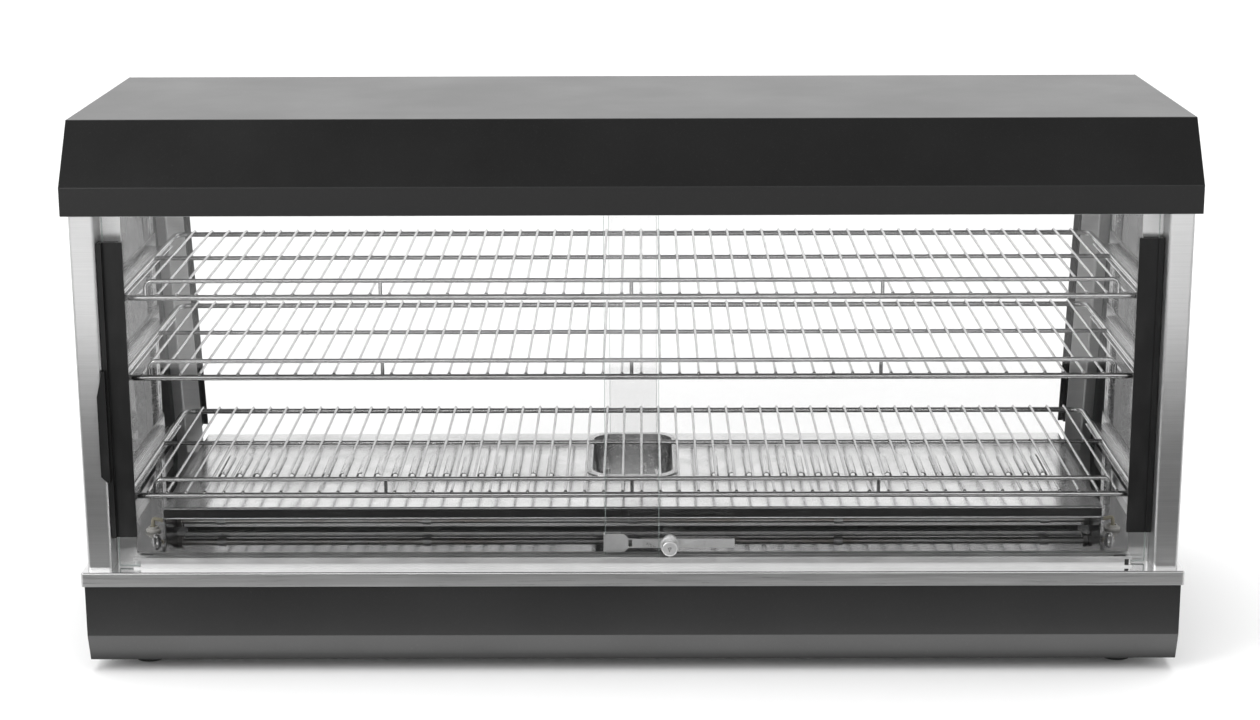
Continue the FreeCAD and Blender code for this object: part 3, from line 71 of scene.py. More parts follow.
class Look:
    """One procedural material, built node by node."""

    def __init__(self, name, **shader):
        self.material = bpy.data.materials.new(name)
        self.material.use_nodes = True
        self.tree = self.material.node_tree
        self.tree.nodes.clear()
        self.output = self.tree.nodes.new("ShaderNodeOutputMaterial")
        self.coordinates = self.tree.nodes.new("ShaderNodeTexCoord").outputs["Object"]
        self.shader = self.principled(**shader)
        self.link(self.shader.outputs["BSDF"], self.output.inputs["Surface"])

    def add(self, kind, **values):
        node = self.tree.nodes.new(kind)
        for key, value in values.items():
            setattr(node, key, value)
        return node

    def link(self, source, target):
        self.tree.links.new(source, target)

    def feed(self, socket, value):
        if isinstance(value, bpy.types.NodeSocket):
            self.link(value, socket)
        else:
            socket.default_value = value

    def principled(self, colour=(0.5, 0.5, 0.5), **values):
        node = self.add("ShaderNodeBsdfPrincipled")
        node.inputs["Base Color"].default_value = (*colour, 1.0)
        for key, value in values.items():
            node.inputs[SHADER_SOCKETS[key]].default_value = value
        return node

    def place(self, scale=(1, 1, 1)):
        node = self.add("ShaderNodeMapping")
        self.link(self.coordinates, node.inputs["Vector"])
        node.inputs["Scale"].default_value = scale
        return node.outputs["Vector"]

    def noise(self, scale, detail=3.0, rough=0.55, stretch=(1, 1, 1), distortion=0.0):
        node = self.add("ShaderNodeTexNoise")
        self.link(self.place(stretch), node.inputs["Vector"])
        node.inputs["Scale"].default_value = scale
        node.inputs["Detail"].default_value = detail
        node.inputs["Roughness"].default_value = rough
        node.inputs["Distortion"].default_value = distortion
        return node.outputs["Fac"]

    def cells(self, scale, output="Distance"):
        node = self.add("ShaderNodeTexVoronoi")
        self.link(self.place(), node.inputs["Vector"])
        node.inputs["Scale"].default_value = scale
        return node.outputs[output]

    def math(self, operation, first, second=0.0):
        node = self.add("ShaderNodeMath", operation=operation)
        self.feed(node.inputs[0], first)
        self.feed(node.inputs[1], second)
        return node.outputs[0]

    def blend_in(self, value, extra, share):
        """Value plus a share of the extra value."""
        return self.math("ADD", value, self.math("MULTIPLY", extra, share))

    def remap(self, value, low, high, to_low, to_high):
        node = self.add("ShaderNodeMapRange")
        for socket, number in zip(node.inputs[1:5], (low, high, to_low, to_high)):
            socket.default_value = number
        self.link(value, node.inputs["Value"])
        return node.outputs["Result"]

    def tint(self, value, dark, light):
        """Colour that runs from dark to light as the value goes from 0 to 1."""
        node = self.add("ShaderNodeMix", data_type="RGBA")
        self.feed(node.inputs["Factor"], value)
        self.feed(node.inputs[6], dark if isinstance(dark, bpy.types.NodeSocket) else (*dark, 1.0))
        self.feed(node.inputs[7], light if isinstance(light, bpy.types.NodeSocket) else (*light, 1.0))
        return node.outputs[2]

    def bump(self, height, depth, strength=1.0, normal=None):
        node = self.add("ShaderNodeBump")
        node.inputs["Strength"].default_value = strength
        node.inputs["Distance"].default_value = depth
        self.link(height, node.inputs["Height"])
        if normal is not None:
            self.link(normal, node.inputs["Normal"])
        return node.outputs["Normal"]

    def lay_grain(self, axis):
        """Turns the stretched highlights of brushed metal to suit grain along the given axis."""
        grain = self.add("ShaderNodeCombineXYZ")
        for index in range(3):
            grain.inputs[index].default_value = 1.0 if index == axis else 0.0
        self.link(grain.outputs[0], self.shader.inputs["Tangent"])

    def facing(self):
        """1 where the surface is seen edge on, 0 where it is seen square on."""
        node = self.add("ShaderNodeLayerWeight")
        node.inputs["Blend"].default_value = 0.5
        return node.outputs["Facing"]

    def normal_part(self, axis):
        """Size of the surface normal's X, Y or Z part."""
        split = self.add("ShaderNodeSeparateXYZ")
        self.link(self.add("ShaderNodeNewGeometry").outputs["Normal"], split.inputs[0])
        return self.math("ABSOLUTE", split.outputs[axis])

    def mix(self, factor, first, second):
        node = self.add("ShaderNodeMixShader")
        self.feed(node.inputs[0], factor)
        self.link(first, node.inputs[1])
        self.link(second, node.inputs[2])
        return node.outputs[0]

    def surface(self, colour=None, roughness=None, normal=None):
        for name, source in (("Base Color", colour), ("Roughness", roughness), ("Normal", normal)):
            if source is not None:
                self.link(source, self.shader.inputs[name])
        return self.material


def grey(value):
    return (value, value, value)


# ---------------------------------------------------------------- materials

def powder_coat(name, level=0.005, roughness=0.38):
    """Black textured powder coat with fine mica sparkle, and a painted sheen that lightens its level faces.
    """
    look = Look(name, colour=grey(level), roughness=roughness, specular=0.35)
    grain = look.noise(900, 4.0, 0.6)
    peel = look.noise(260, 2.0, 0.5)
    haze = look.noise(7, 3.0, 0.6)
    specks = look.remap(look.cells(1500), 0.0, 0.22, 1.0, 0.0)
    chosen = look.remap(look.noise(700, 1.0), 0.52, 0.66, 0.0, 1.0)
    sparkle = look.math("MULTIPLY", specks, chosen)
    base = look.tint(haze, grey(level * 0.8), grey(level * 1.25))
    base = look.tint(sparkle, base, grey(0.16))
    # Painted sheen: level faces get a lighter grey colour that stands in for the reflection they catch.
    mottle = look.remap(haze, 0.25, 0.75, 0.05, 0.085)
    painted_top_sheen = look.remap(look.normal_part(2), 0.85, 0.98, 0.0, 1.0)
    base = look.tint(painted_top_sheen, base, look.tint(mottle, grey(0.0), grey(1.0)))
    gloss = look.blend_in(haze, grain, 0.5)
    rough = look.remap(gloss, 0.4, 1.1, roughness - 0.07, roughness + 0.08)
    normal = look.bump(grain, 0.00003, 0.6, look.bump(peel, 0.00005, 0.5))
    return look.surface(base, rough, normal)


def brushed_steel(name, level=0.62, roughness=0.36, along=0, depth=0.000008, streak=0.1, anisotropy=0.85):
    """Stainless sheet with straight brushed grain. The grain runs along the given axis."""
    look = Look(name, colour=grey(level), roughness=roughness, metallic=1.0, anisotropy=anisotropy)
    look.lay_grain(along)
    fine = [1400.0, 1400.0, 1400.0]
    broad = [160.0, 160.0, 160.0]
    fine[along] = 14.0
    broad[along] = 1.6
    lines = look.noise(1.0, 5.0, 0.65, stretch=tuple(fine))
    bands = look.noise(1.0, 3.0, 0.6, stretch=tuple(broad))
    cloud = look.noise(9, 3.0, 0.5)
    value = look.math("ADD", look.math("MULTIPLY", lines, 0.6), look.math("MULTIPLY", bands, 0.4))
    contrast = look.remap(value, 0.3, 0.7, 0.0, 1.0)
    base = look.tint(contrast, grey(level * (1 - streak)), grey(level * (1 + streak)))
    base = look.tint(look.remap(cloud, 0.35, 0.7, 0.0, 0.16), base, grey(level * 0.8))
    gloss = look.blend_in(value, cloud, 0.4)
    rough = look.remap(gloss, 0.4, 1.0, roughness - 0.06, roughness + 0.09)
    return look.surface(base, rough, look.bump(lines, depth, 0.9))


def polished_steel(name, level=0.62, roughness=0.09, flank_shade=1.0):
    """Bright-annealed sheet: nearly a mirror, with faint rolling lines, wipe marks and a slight wave.

    A flank share below 1 paints shade on the steep sides of pressed shapes: the steeper the face, the
    darker its colour.
    """
    look = Look(name, colour=grey(level), roughness=roughness, metallic=1.0)
    rolling = look.noise(1.0, 4.0, 0.6, stretch=(10.0, 900.0, 900.0))
    smears = look.noise(16, 4.0, 0.6, distortion=0.8)
    wave = look.noise(5.5, 1.0, 0.4)
    base = look.tint(look.remap(smears, 0.35, 0.75, 0.0, 1.0), grey(level * 1.04), grey(level * 0.9))
    # Painted shade: steep faces are coloured darker to stand in for the shade beside the louvres.
    if flank_shade < 1.0:
        base = look.tint(look.remap(look.normal_part(2), 0.25, 0.9, 0.0, 1.0), grey(level * flank_shade), base)
    gloss = look.blend_in(smears, rolling, 0.5)
    rough = look.remap(gloss, 0.4, 1.1, roughness * 0.6, roughness * 1.9)
    normal = look.bump(rolling, 0.000004, 0.7, look.bump(wave, 0.0012, 0.35))
    return look.surface(base, rough, normal)


def plated(name, level=0.6, roughness=0.16, grain=420):
    """Nickel or chrome plate on turned or drawn steel."""
    look = Look(name, colour=grey(level), roughness=roughness, metallic=1.0)
    pits = look.noise(grain, 4.0, 0.6)
    cloud = look.noise(38, 3.0, 0.6)
    base = look.tint(look.remap(cloud, 0.35, 0.7, 0.0, 1.0), grey(level * 1.05), grey(level * 0.84))
    gloss = look.blend_in(cloud, pits, 0.6)
    rough = look.remap(gloss, 0.5, 1.2, roughness * 0.7, roughness * 1.6)
    return look.surface(base, rough, look.bump(pits, 0.00002, 0.6))


def galvanised(name):
    """Zinc-coated sheet with its crystal spangle."""
    look = Look(name, colour=grey(0.5), roughness=0.42, metallic=1.0)
    spangle = look.cells(85, output="Color")
    shade = look.add("ShaderNodeRGBToBW")
    look.link(spangle, shade.inputs[0])
    fine = look.noise(600, 3.0)
    base = look.tint(shade.outputs[0], grey(0.38), grey(0.58))
    rough = look.remap(shade.outputs[0], 0.0, 1.0, 0.34, 0.52)
    return look.surface(base, rough, look.bump(fine, 0.00003, 0.5))


def aluminium(name, level=0.74):
    """Extruded aluminium, satin anodised, with die lines along its length."""
    look = Look(name, colour=grey(level), roughness=0.34, metallic=1.0)
    die = look.noise(1.0, 4.0, 0.6, stretch=(1.5, 700.0, 700.0))
    dust = look.noise(30, 3.0)
    base = look.tint(look.remap(die, 0.3, 0.7, 0.0, 1.0), grey(level * 0.93), grey(level * 1.05))
    rough = look.remap(dust, 0.3, 0.7, 0.3, 0.4)
    return look.surface(base, rough, look.bump(die, 0.000002, 0.6))


def black_plastic(name, level=0.007, roughness=0.4):
    """Moulded black plastic with a fine spark-eroded texture and faint handling marks."""
    look = Look(name, colour=grey(level), roughness=roughness, specular=0.22)
    grain = look.noise(1500, 3.0, 0.6)
    marks = look.noise(45, 4.0, 0.65, stretch=(1, 1, 0.35))
    base = look.tint(look.remap(marks, 0.4, 0.75, 0.0, 1.0), grey(level), grey(level * 1.9))
    gloss = look.blend_in(marks, grain, 0.4)
    rough = look.remap(gloss, 0.5, 1.0, roughness - 0.07, roughness + 0.12)
    return look.surface(base, rough, look.bump(grain, 0.00003, 0.6))


def ceramic(name):
    look = Look(name, colour=(0.78, 0.76, 0.72), roughness=0.4)
    pores = look.noise(700, 3.0)
    shade = look.noise(60, 3.0)
    base = look.tint(shade, (0.7, 0.68, 0.63), (0.84, 0.83, 0.8))
    return look.surface(base, look.remap(pores, 0.3, 0.7, 0.32, 0.55), look.bump(pores, 0.00005, 0.5))


def rubber(name):
    look = Look(name, colour=grey(0.02), roughness=0.68)
    grain = look.noise(800, 4.0, 0.7)
    dust = look.noise(70, 4.0, 0.6)
    base = look.tint(look.remap(dust, 0.4, 0.75, 0.0, 1.0), grey(0.014), grey(0.05))
    return look.surface(base, look.remap(dust, 0.3, 0.7, 0.58, 0.8), look.bump(grain, 0.0001, 0.7))


def insulation(name):
    """Matted mineral fibre."""
    look = Look(name, colour=(0.62, 0.58, 0.45), roughness=0.95)
    fibre = look.noise(1.0, 6.0, 0.7, stretch=(260.0, 900.0, 900.0), distortion=1.4)
    lumps = look.noise(55, 4.0, 0.6)
    base = look.tint(fibre, (0.45, 0.4, 0.28), (0.78, 0.74, 0.6))
    normal = look.bump(fibre, 0.0006, 0.9, look.bump(lumps, 0.002, 0.8))
    return look.surface(base, look.remap(fibre, 0.3, 0.7, 0.85, 1.0), normal)


def heater_sheath(name):
    """Steel element sheath, dulled and darkened in bands by heat."""
    look = Look(name, colour=grey(0.42), roughness=0.34, metallic=1.0)
    bands = look.noise(1.0, 3.0, 0.5, stretch=(14.0, 3.0, 3.0))
    scale = look.noise(300, 4.0, 0.65)
    base = look.tint(look.remap(bands, 0.35, 0.7, 0.0, 1.0), (0.5, 0.5, 0.5), (0.3, 0.27, 0.25))
    return look.surface(base, look.remap(scale, 0.3, 0.7, 0.24, 0.46), look.bump(scale, 0.00004, 0.6))


def amber(name):
    look = Look(name, colour=(0.8, 0.28, 0.03), roughness=0.2, transmission=0.4, ior=1.49)
    facets = look.cells(1100)
    haze = look.noise(200, 2.0)
    base = look.tint(haze, (0.72, 0.22, 0.02), (0.9, 0.36, 0.05))
    return look.surface(base, look.remap(haze, 0.3, 0.7, 0.14, 0.3), look.bump(facets, 0.0003, 0.6))


def sheet_glass(name, face_axis, clear=0.975, grazing=0.8, gloss=1.0, mirror=0.9):
    """Thin float glass: see-through faces that mirror more at a slant, and ground edges."""
    look = Look(name, colour=(0.30, 0.36, 0.34), roughness=0.3, specular=0.6)
    slant = look.facing()
    mottle = look.noise(14, 4.0, 0.6, distortion=0.5)
    through = look.add("ShaderNodeBsdfTransparent")
    shade = look.tint(look.math("POWER", slant, 2.0), grey(clear), grey(grazing))
    look.link(look.tint(look.remap(mottle, 0.45, 0.8, 0.0, 0.03), shade, grey(0.86)), through.inputs["Color"])
    shine = look.add("ShaderNodeBsdfGlossy")
    shine.inputs["Color"].default_value = (mirror, mirror, mirror, 1.0)
    look.link(look.remap(mottle, 0.4, 0.8, 0.0, 0.03), shine.inputs["Roughness"])
    schlick = look.math("MULTIPLY", look.math("POWER", slant, 5.0), 0.86)
    share = look.math("MULTIPLY", look.math("ADD", schlick, 0.035), gloss)
    faces = look.mix(share, through.outputs[0], shine.outputs[0])
    ground = look.noise(1800, 3.0)
    edge_tone = look.tint(look.noise(50, 3.0), (0.22, 0.28, 0.26), (0.42, 0.48, 0.46))
    look.surface(edge_tone, look.remap(ground, 0.3, 0.7, 0.22, 0.42), look.bump(ground, 0.00004, 0.6))
    edge = look.mix(0.35, look.shader.outputs[0], through.outputs[0])
    is_face = look.math("GREATER_THAN", look.normal_part(face_axis), 0.9)
    look.link(look.mix(is_face, edge, faces), look.output.inputs["Surface"])
    return look.material


def bulb_glass(name):
    look = Look(name, colour=grey(0.9), roughness=0.25)
    frost = look.noise(500, 3.0)
    through = look.add("ShaderNodeBsdfTransparent")
    look.link(look.tint(frost, grey(0.78), grey(0.92)), through.inputs["Color"])
    rough = look.remap(frost, 0.3, 0.7, 0.2, 0.36)
    look.surface(look.tint(frost, grey(0.8), grey(0.95)), rough, look.bump(frost, 0.0001, 0.4))
    look.link(look.mix(0.5, through.outputs[0], look.shader.outputs[0]), look.output.inputs["Surface"])
    return look.material


def deck_steel(name):
    """The deck is a mirror on top, and its folded edge is brushed along its length."""
    look = Look(name, colour=grey(0.6), roughness=0.1, metallic=1.0, anisotropy=0.6)
    look.lay_grain(0)
    lines = look.noise(1.0, 5.0, 0.65, stretch=(11.0, 11.0, 1500.0))
    smears = look.noise(16, 4.0, 0.6, distortion=0.8)
    wave = look.noise(6, 1.0, 0.4)
    flat = look.remap(look.normal_part(2), 0.45, 0.8, 0.0, 1.0)
    edge_tone = look.tint(look.remap(lines, 0.3, 0.7, 0.0, 1.0), grey(0.44), grey(0.54))
    top_tone = look.tint(look.remap(smears, 0.35, 0.75, 0.0, 1.0), grey(0.64), grey(0.55))
    base = look.tint(flat, edge_tone, top_tone)
    edge_rough = look.remap(lines, 0.3, 0.7, 0.26, 0.38)
    top_rough = look.remap(smears, 0.3, 0.8, 0.04, 0.13)
    rough = look.math("ADD", look.math("MULTIPLY", top_rough, flat),
                      look.math("MULTIPLY", edge_rough, look.math("SUBTRACT", 1.0, flat)))
    normal = look.bump(lines, 0.000006, 0.5, look.bump(wave, 0.0012, 0.3))
    return look.surface(base, rough, normal)


def make_looks():
    return {
        "black_powder_coat": powder_coat("black_powder_coat"),
        "brushed_stainless": brushed_steel("brushed_stainless"),
        "polished_stainless": polished_steel("polished_stainless"),
        "satin_stainless": brushed_steel("satin_stainless", 0.56, 0.24, along=1, depth=0.000004,
                                         streak=0.07, anisotropy=0.4),
        "galvanised_steel": galvanised("galvanised_steel"),
        "chrome_wire": plated("chrome_wire", 0.44, 0.16),
        "nickel_plate": plated("nickel_plate", 0.62, 0.15, 600),
        "aluminium": aluminium("aluminium"),
        "clear_glass": sheet_glass("clear_glass", 1, 0.985, 0.86),
        "side_glass": sheet_glass("side_glass", 0, 0.8, 0.22, 0.35),
        "lamp_glass": bulb_glass("lamp_glass"),
        "black_plastic": black_plastic("black_plastic"),
        "white_ceramic": ceramic("white_ceramic"),
        "amber_lens": amber("amber_lens"),
        "heater_sheath": heater_sheath("heater_sheath"),
        "insulation": insulation("insulation"),
        "rubber": rubber("rubber"),
    }


def dress_frame():
    """Gives every CAD node the finish of its slot."""
    looks = make_looks()
    satin_nickel = plated("satin_nickel", 0.72, 0.34, 700)
    special = {
        "deck_pan": deck_steel("deck_steel"),
        "ratchet_bar": satin_nickel,
        "lock_barrel": satin_nickel,
        "lock_plug": satin_nickel,
        # The heater cover's louvres get painted shade on their steep sides.
        "louvred_heater_cover": polished_steel("pressed_steel", 0.62, 0.14, flank_shade=0.26),
    }
    for name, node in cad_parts.items():
        for index, slot in enumerate(node.material_slots):
            slot_name = slot.material.name.split(".")[0]
            slot.material = special.get(name) or looks[slot_name]
    return looks


looks = dress_frame()


# ---------------------------------------------------------------- small pieces that the frame doesn't have

def add_piece(name, build, body, slot):
    """One mesh object made by the build function, in the finish of a slot, riding on a body."""
    shape = bmesh.new()
    build(shape)
    bmesh.ops.recalc_face_normals(shape, faces=shape.faces)
    mesh = bpy.data.meshes.new(name)
    shape.to_mesh(mesh)
    shape.free()
    mesh.shade_smooth()
    mesh.set_sharp_from_angle(angle=math.radians(40))
    piece = bpy.data.objects.new(name, mesh)
    scene.collection.objects.link(piece)
    mesh.materials.append(looks[slot])
    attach(piece, body)
    return piece


def add_bead(shape, centre, size):
    """Small uneven blob of weld metal."""
    blob = bmesh.ops.create_icosphere(shape, subdivisions=2, radius=1.0)
    for vertex in blob["verts"]:
        ripple = 1.0 + 0.16 * noise.noise(vertex.co * 1.7 + centre * 700)
        vertex.co = centre + Vector([part * scale * ripple for part, scale in zip(vertex.co, size)])


def add_block(shape, low, high, round_off):
    """Block with rounded edges."""
    middle = (low + high) / 2
    block = bmesh.ops.create_cube(shape, size=1.0)
    for vertex in block["verts"]:
        vertex.co = middle + Vector([part * side for part, side in zip(vertex.co, high - low)])
    edges = {edge for vertex in block["verts"] for edge in vertex.link_edges}
    bmesh.ops.bevel(shape, geom=list(edges), offset=round_off, segments=3, profile=0.6, affect="EDGES")


def add_lathed(shape, profile, centre, steps=40):
    """Ring turned round a vertical axis. The profile is a closed list of (radius, height)."""
    rings = []
    for index in range(steps):
        angle = 2 * math.pi * index / steps
        across = Vector((math.cos(angle), math.sin(angle), 0))
        rings.append([shape.verts.new(centre + across * radius + Vector((0, 0, height)))
                      for radius, height in profile])
    count = len(profile)
    for ring, following in zip(rings, rings[1:] + rings[:1]):
        for index in range(count):
            after = (index + 1) % count
            shape.faces.new((ring[index], following[index], following[after], ring[after]))


def add_band(shape, place, inner, outer, start, end, steps, thickness):
    """Printed band on a rear-facing panel, from one angle to another.

    The radii may be functions of the share of the way along.
    """
    levels = []
    for index in range(steps + 1):
        share = index / steps
        angle = start + (end - start) * share
        across = Vector((math.sin(angle), 0, math.cos(angle)))
        radii = [radius(share) if callable(radius) else radius for radius in (inner, outer)]
        lower = [place + across * radius for radius in radii]
        upper = [point + Vector((0, thickness, 0)) for point in lower]
        levels.append([shape.verts.new(point) for point in (lower[0], lower[1], upper[1], upper[0])])
    for near, far in zip(levels, levels[1:]):
        for index in range(4):
            after = (index + 1) % 4
            shape.faces.new((near[index], far[index], far[after], near[after]))
    shape.faces.new(levels[0])
    shape.faces.new(levels[-1][::-1])


WIRE_COUNT = 52
WIRE_SPAN = 0.531
WIRE_RADIUS = 0.0015
RAIL_RADIUS = 0.0032
WELD_SIZE = (0.0021, 0.0024, 0.0013)


def make_weld_beads():
    """Resistance welds where the shelf wires cross the front, middle and rear rails."""
    for shelf in ("upper", "middle", "lower"):
        low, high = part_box(shelf + "_shelf")
        height = high.z - WIRE_RADIUS * 1.5
        rails = (low.y + RAIL_RADIUS, 0.0, high.y - RAIL_RADIUS)

        def build(shape):
            for index in range(WIRE_COUNT):
                x = -WIRE_SPAN + 2 * WIRE_SPAN * index / (WIRE_COUNT - 1)
                for y in rails:
                    add_bead(shape, Vector((x, y, height)), WELD_SIZE)

        add_piece(shelf + "_shelf_welds", build, "cabinet", "chrome_wire")


LIP_BEAD = 0.0009
LIP_DROP = 0.0175
LIP_END_GAP = 0.0004


def make_lip_bead():
    """Rolled bead just above the bottom edge of the heater cover's front lip."""
    low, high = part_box("louvred_heater_cover")
    bottom = high.z - LIP_DROP

    def build(shape):
        add_block(shape, Vector((low.x + LIP_END_GAP, low.y - LIP_BEAD, bottom)),
                  Vector((high.x - LIP_END_GAP, low.y + LIP_BEAD, bottom + 2 * LIP_BEAD)), LIP_BEAD * 0.9)

    add_piece("cover_lip_bead", build, "cabinet", "polished_stainless")


STOP_NEAR = 0.523
STOP_FAR = 0.542
TRACK_FLOOR = 0.0013


def make_track_stops():
    """Rubber blocks that the sliding doors run up against, one in each groove of the lower front track."""
    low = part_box("front_lower_track")[0]
    floor = low.z + TRACK_FLOOR
    for name, side, pane in (("left", -1, "front_right_pane"), ("right", 1, "front_left_pane")):
        pane_low, pane_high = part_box(pane)
        near, far = sorted((side * STOP_NEAR, side * STOP_FAR))

        def build(shape):
            add_block(shape, Vector((near, pane_low.y - 0.0012, floor)),
                      Vector((far, pane_high.y + 0.0012, floor + 0.0082)), 0.0012)
            add_block(shape, Vector((near + 0.003, pane_low.y - 0.0002, floor + 0.0078)),
                      Vector((far - 0.003, pane_high.y + 0.0002, floor + 0.0096)), 0.0006)

        add_piece("track_stop_" + name, build, "cabinet", "rubber")


WIRE_HOLE_GAP = 0.007
LEAD_RADIUS = 0.0021


def make_heater_bushes():
    """Ceramic collars where the heater's leads pass through the deck."""
    low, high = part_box("heater_tube")
    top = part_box("deck_pan")[1].z
    y = (low.y + high.y) / 2
    collar = [(0.0043, -0.0012), (0.0049, -0.0012), (0.0049, 0.0001), (0.0084, 0.0001), (0.0088, 0.0006),
              (0.0088, 0.0022), (0.0082, 0.0028), (0.0062, 0.0032), (0.0056, 0.0056), (0.0050, 0.0060),
              (0.0043, 0.0060)]

    def build(shape):
        for x in (low.x - WIRE_HOLE_GAP, high.x + WIRE_HOLE_GAP):
            add_lathed(shape, collar, Vector((x, y, top)))

    add_piece("heater_bushes", build, "cabinet", "white_ceramic")


def make_heater_leads():
    """Sleeved leads from the heater's terminal pins down through the ceramic collars."""
    low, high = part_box("heater_tube")
    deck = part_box("deck_pan")[1].z
    y = (low.y + high.y) / 2
    z = (low.z + high.z) / 2
    for name, side in (("left", -1), ("right", 1)):
        line = bpy.data.curves.new("heater_lead_" + name, "CURVE")
        line.dimensions = "3D"
        line.bevel_depth = LEAD_RADIUS
        line.bevel_resolution = 5
        line.use_fill_caps = True
        spline = line.splines.new("BEZIER")
        pin = high.x
        hole = high.x + WIRE_HOLE_GAP
        points = ((pin - 0.004, z, (0.003, 0)), (hole - 0.0008, z + 0.0012, (0.0016, -0.0012)),
                  (hole, deck - 0.003, (0, -0.004)))
        spline.bezier_points.add(len(points) - 1)
        for knot, (x, height, pull) in zip(spline.bezier_points, points):
            knot.co = (side * x, y, height)
            knot.handle_right = (side * (x + pull[0]), y, height + pull[1])
            knot.handle_left = (side * (x - pull[0]), y, height - pull[1])
        lead = bpy.data.objects.new("heater_lead_" + name, line)
        scene.collection.objects.link(lead)
        line.materials.append(looks["insulation"])
        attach(lead, "cabinet")


KNOB_SWEEP = math.radians(270)
SCALE_RADIUS = 0.0182
PRINT = 0.0001
TICK_COUNT = 10
TICK_HALF_WIDTH = math.radians(0.9)


def make_control_scale():
    """Printed scale round the thermostat knob: a wedge that widens towards the hot end, and ten ticks."""
    low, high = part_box("thermostat_knob")
    place = Vector(((low.x + high.x) / 2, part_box("switch_housings")[1].y - 0.002, (low.z + high.z) / 2))
    half = KNOB_SWEEP / 2

    def build(shape):
        add_band(shape, place, SCALE_RADIUS, lambda share: SCALE_RADIUS + 0.0002 + 0.0008 * share,
                 half, -half, 72, PRINT)
        for index in range(TICK_COUNT):
            angle = half - KNOB_SWEEP * index / (TICK_COUNT - 1)
            reach = 0.0213 if index % 3 == 0 else 0.0205
            add_band(shape, place, SCALE_RADIUS + 0.0013, reach,
                     angle - TICK_HALF_WIDTH, angle + TICK_HALF_WIDTH, 1, PRINT)

    add_piece("control_scale", build, "cabinet", "white_ceramic")


def make_knob_pointer():
    """White line let into the knob's grip, pointing up at rest."""
    low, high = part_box("thermostat_knob")
    x = (low.x + high.x) / 2
    z = (low.z + high.z) / 2

    def build(shape):
        add_block(shape, Vector((x - 0.0006, high.y - 0.0003, z + 0.003)),
                  Vector((x + 0.0006, high.y + PRINT, z + 0.0128)), 0.00008)

    add_piece("knob_pointer", build, "thermostat_knob", "white_ceramic")


def make_small_pieces():
    make_weld_beads()
    make_lip_bead()
    make_track_stops()
    make_heater_bushes()
    make_heater_leads()
    make_control_scale()
    make_knob_pointer()


make_small_pieces()


# ---------------------------------------------------------------- studio

def make_floor():
    bpy.ops.mesh.primitive_circle_add(vertices=96, radius=14.0, fill_type="NGON", location=(0, 0, LOW.z))
    floor = bpy.context.object
    floor.name = "floor"
    look = Look("floor_paper", colour=grey(0.9), roughness=0.9, specular=0.0)
    tone = look.tint(look.noise(1.3, 2.0), grey(0.885), grey(0.905))
    floor.data.materials.append(look.surface(tone))


def make_world():
    """Pale backdrop for the camera. Reflections see it bright behind, darker in front and overhead."""
    world = bpy.data.worlds.new("studio")
    scene.world = world
    world.use_nodes = True
    tree = world.node_tree
    tree.nodes.clear()
    add = tree.nodes.new
    output = add("ShaderNodeOutputWorld")
    background = add("ShaderNodeBackground")
    tree.links.new(background.outputs[0], output.inputs["Surface"])
    split = add("ShaderNodeSeparateXYZ")
    tree.links.new(add("ShaderNodeTexCoord").outputs["Generated"], split.inputs[0])
    depth = add("ShaderNodeMapRange")
    depth.interpolation_type = "SMOOTHSTEP"
    for socket, number in zip(depth.inputs[1:5], (-0.4, 0.35, 0.7, 1.7)):
        socket.default_value = number
    tree.links.new(split.outputs[1], depth.inputs["Value"])
    height = add("ShaderNodeMapRange")
    height.interpolation_type = "SMOOTHSTEP"
    for socket, number in zip(height.inputs[1:5], (0.45, 0.95, 1.0, 0.5)):
        socket.default_value = number
    tree.links.new(split.outputs[2], height.inputs["Value"])
    shade = add("ShaderNodeMath")
    shade.operation = "MULTIPLY"
    tree.links.new(depth.outputs[0], shade.inputs[0])
    tree.links.new(height.outputs[0], shade.inputs[1])
    mixer = add("ShaderNodeMix")
    mixer.data_type = "FLOAT"
    tree.links.new(add("ShaderNodeLightPath").outputs["Is Camera Ray"], mixer.inputs[0])
    tree.links.new(shade.outputs[0], mixer.inputs[2])
    mixer.inputs[3].default_value = 1.0
    tree.links.new(mixer.outputs[0], background.inputs["Strength"])


def soft_box(name, place, target, size, power):
    data = bpy.data.lights.new(name, "AREA")
    data.shape = "RECTANGLE"
    data.size, data.size_y = size
    data.energy = power
    light = bpy.data.objects.new(name, data)
    scene.collection.objects.link(light)
    direction = Vector(target) - Vector(place)
    light.matrix_world = Matrix.Translation(place) @ direction.to_track_quat("-Z", "Y").to_matrix().to_4x4()
    light.visible_camera = False


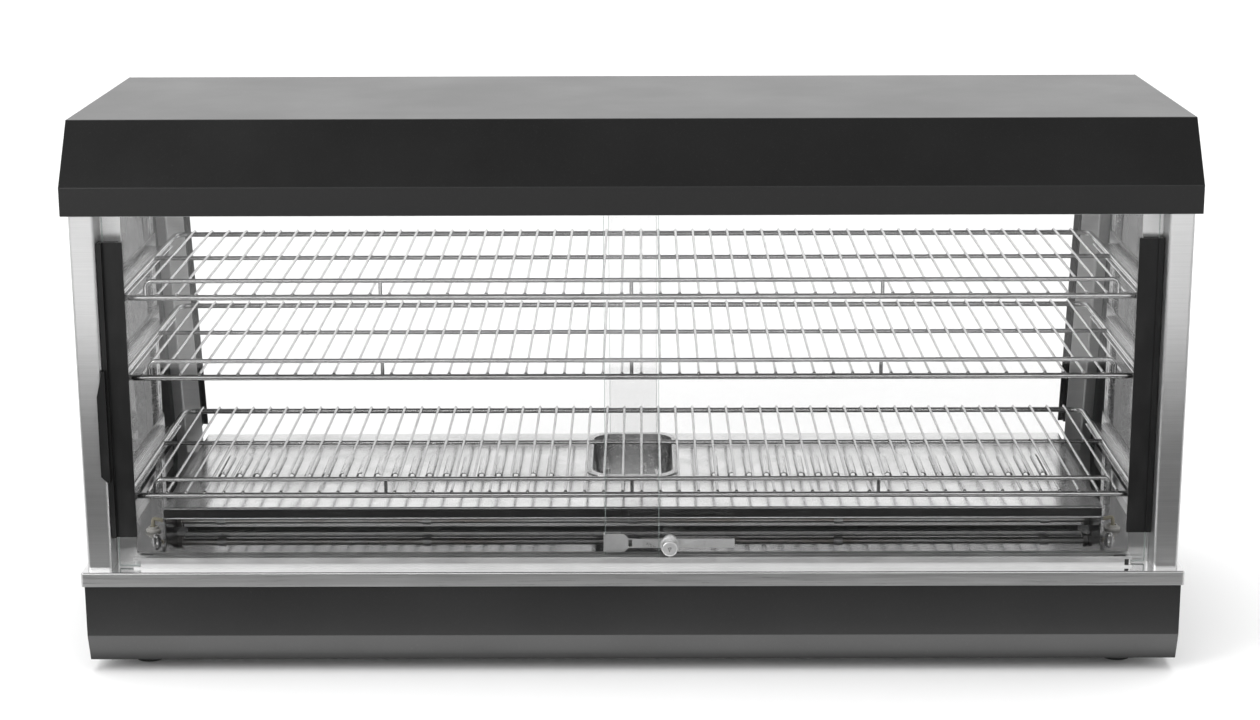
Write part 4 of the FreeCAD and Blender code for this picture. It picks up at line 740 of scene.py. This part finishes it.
def make_card(name, width, y0, y1, level, z0=0.002, z1=0.002):
    """Glowing card that only reflections see, from one edge in Y and Z to the other."""
    half = width / 2
    mesh = bpy.data.meshes.new(name)
    corners = [(-half, y0, LOW.z + z0), (half, y0, LOW.z + z0),
               (half, y1, LOW.z + z1), (-half, y1, LOW.z + z1)]
    mesh.from_pydata(corners, [], [(0, 1, 2, 3)])
    card = bpy.data.objects.new(name, mesh)
    scene.collection.objects.link(card)
    look = Look(name, colour=grey(0.0), roughness=1.0)
    look.shader.inputs["Emission Color"].default_value = (1.0, 1.0, 1.0, 1.0)
    look.shader.inputs["Emission Strength"].default_value = level
    card.data.materials.append(look.material)
    for ray in ("camera", "diffuse", "transmission", "shadow", "volume_scatter"):
        setattr(card, "visible_" + ray, False)


def make_sun(strength, spread):
    """Even light from above for the floor. It isn't seen in reflections."""
    data = bpy.data.lights.new("overhead", "SUN")
    data.energy = strength
    data.angle = math.radians(spread)
    light = bpy.data.objects.new("overhead", data)
    scene.collection.objects.link(light)
    light.rotation_euler = (math.radians(8), 0, 0)
    light.visible_glossy = False


CAMERA_PLACE = (0.011, LOW.y - 2.436, LOW.z + 1.004)
CAMERA_PITCH = math.radians(-13.018)
CAMERA_YAW = math.radians(0.287)
CAMERA_ROLL = math.radians(0.203)
CAMERA_LENS = 67.69
CAMERA_SHIFT = -0.06


def make_camera():
    data = bpy.data.cameras.new("camera")
    data.lens = CAMERA_LENS
    data.sensor_width = 36.0
    data.shift_y = CAMERA_SHIFT
    data.clip_end = 100.0
    camera = bpy.data.objects.new("camera", data)
    scene.collection.objects.link(camera)
    turn = Matrix.Rotation(CAMERA_YAW, 4, "Z") @ Matrix.Rotation(math.radians(90) + CAMERA_PITCH, 4, "X")
    camera.matrix_world = Matrix.Translation(CAMERA_PLACE) @ turn @ Matrix.Rotation(-CAMERA_ROLL, 4, "Z")
    scene.camera = camera


make_floor()
make_world()
make_card("dark_card", 6.0, -1.5, -0.48, 0.05)
make_card("toe_card", 1.3, -0.3, -0.242, 4.5)
make_card("front_strip", 6.0, -3.4, -3.5, 2.7, 1.3, 2.4)
make_sun(1.9, 50)
soft_box("key_left", (-2.3, -2.2, 1.7), (0, 0, 0.3), (1.4, 1.6), 52)
soft_box("fill_right", (2.6, -1.8, 1.3), (0, 0, 0.3), (1.0, 1.4), 8)
make_camera()
scene.view_settings.view_transform = "Standard"
scene.cycles.transparent_max_bounces = 24
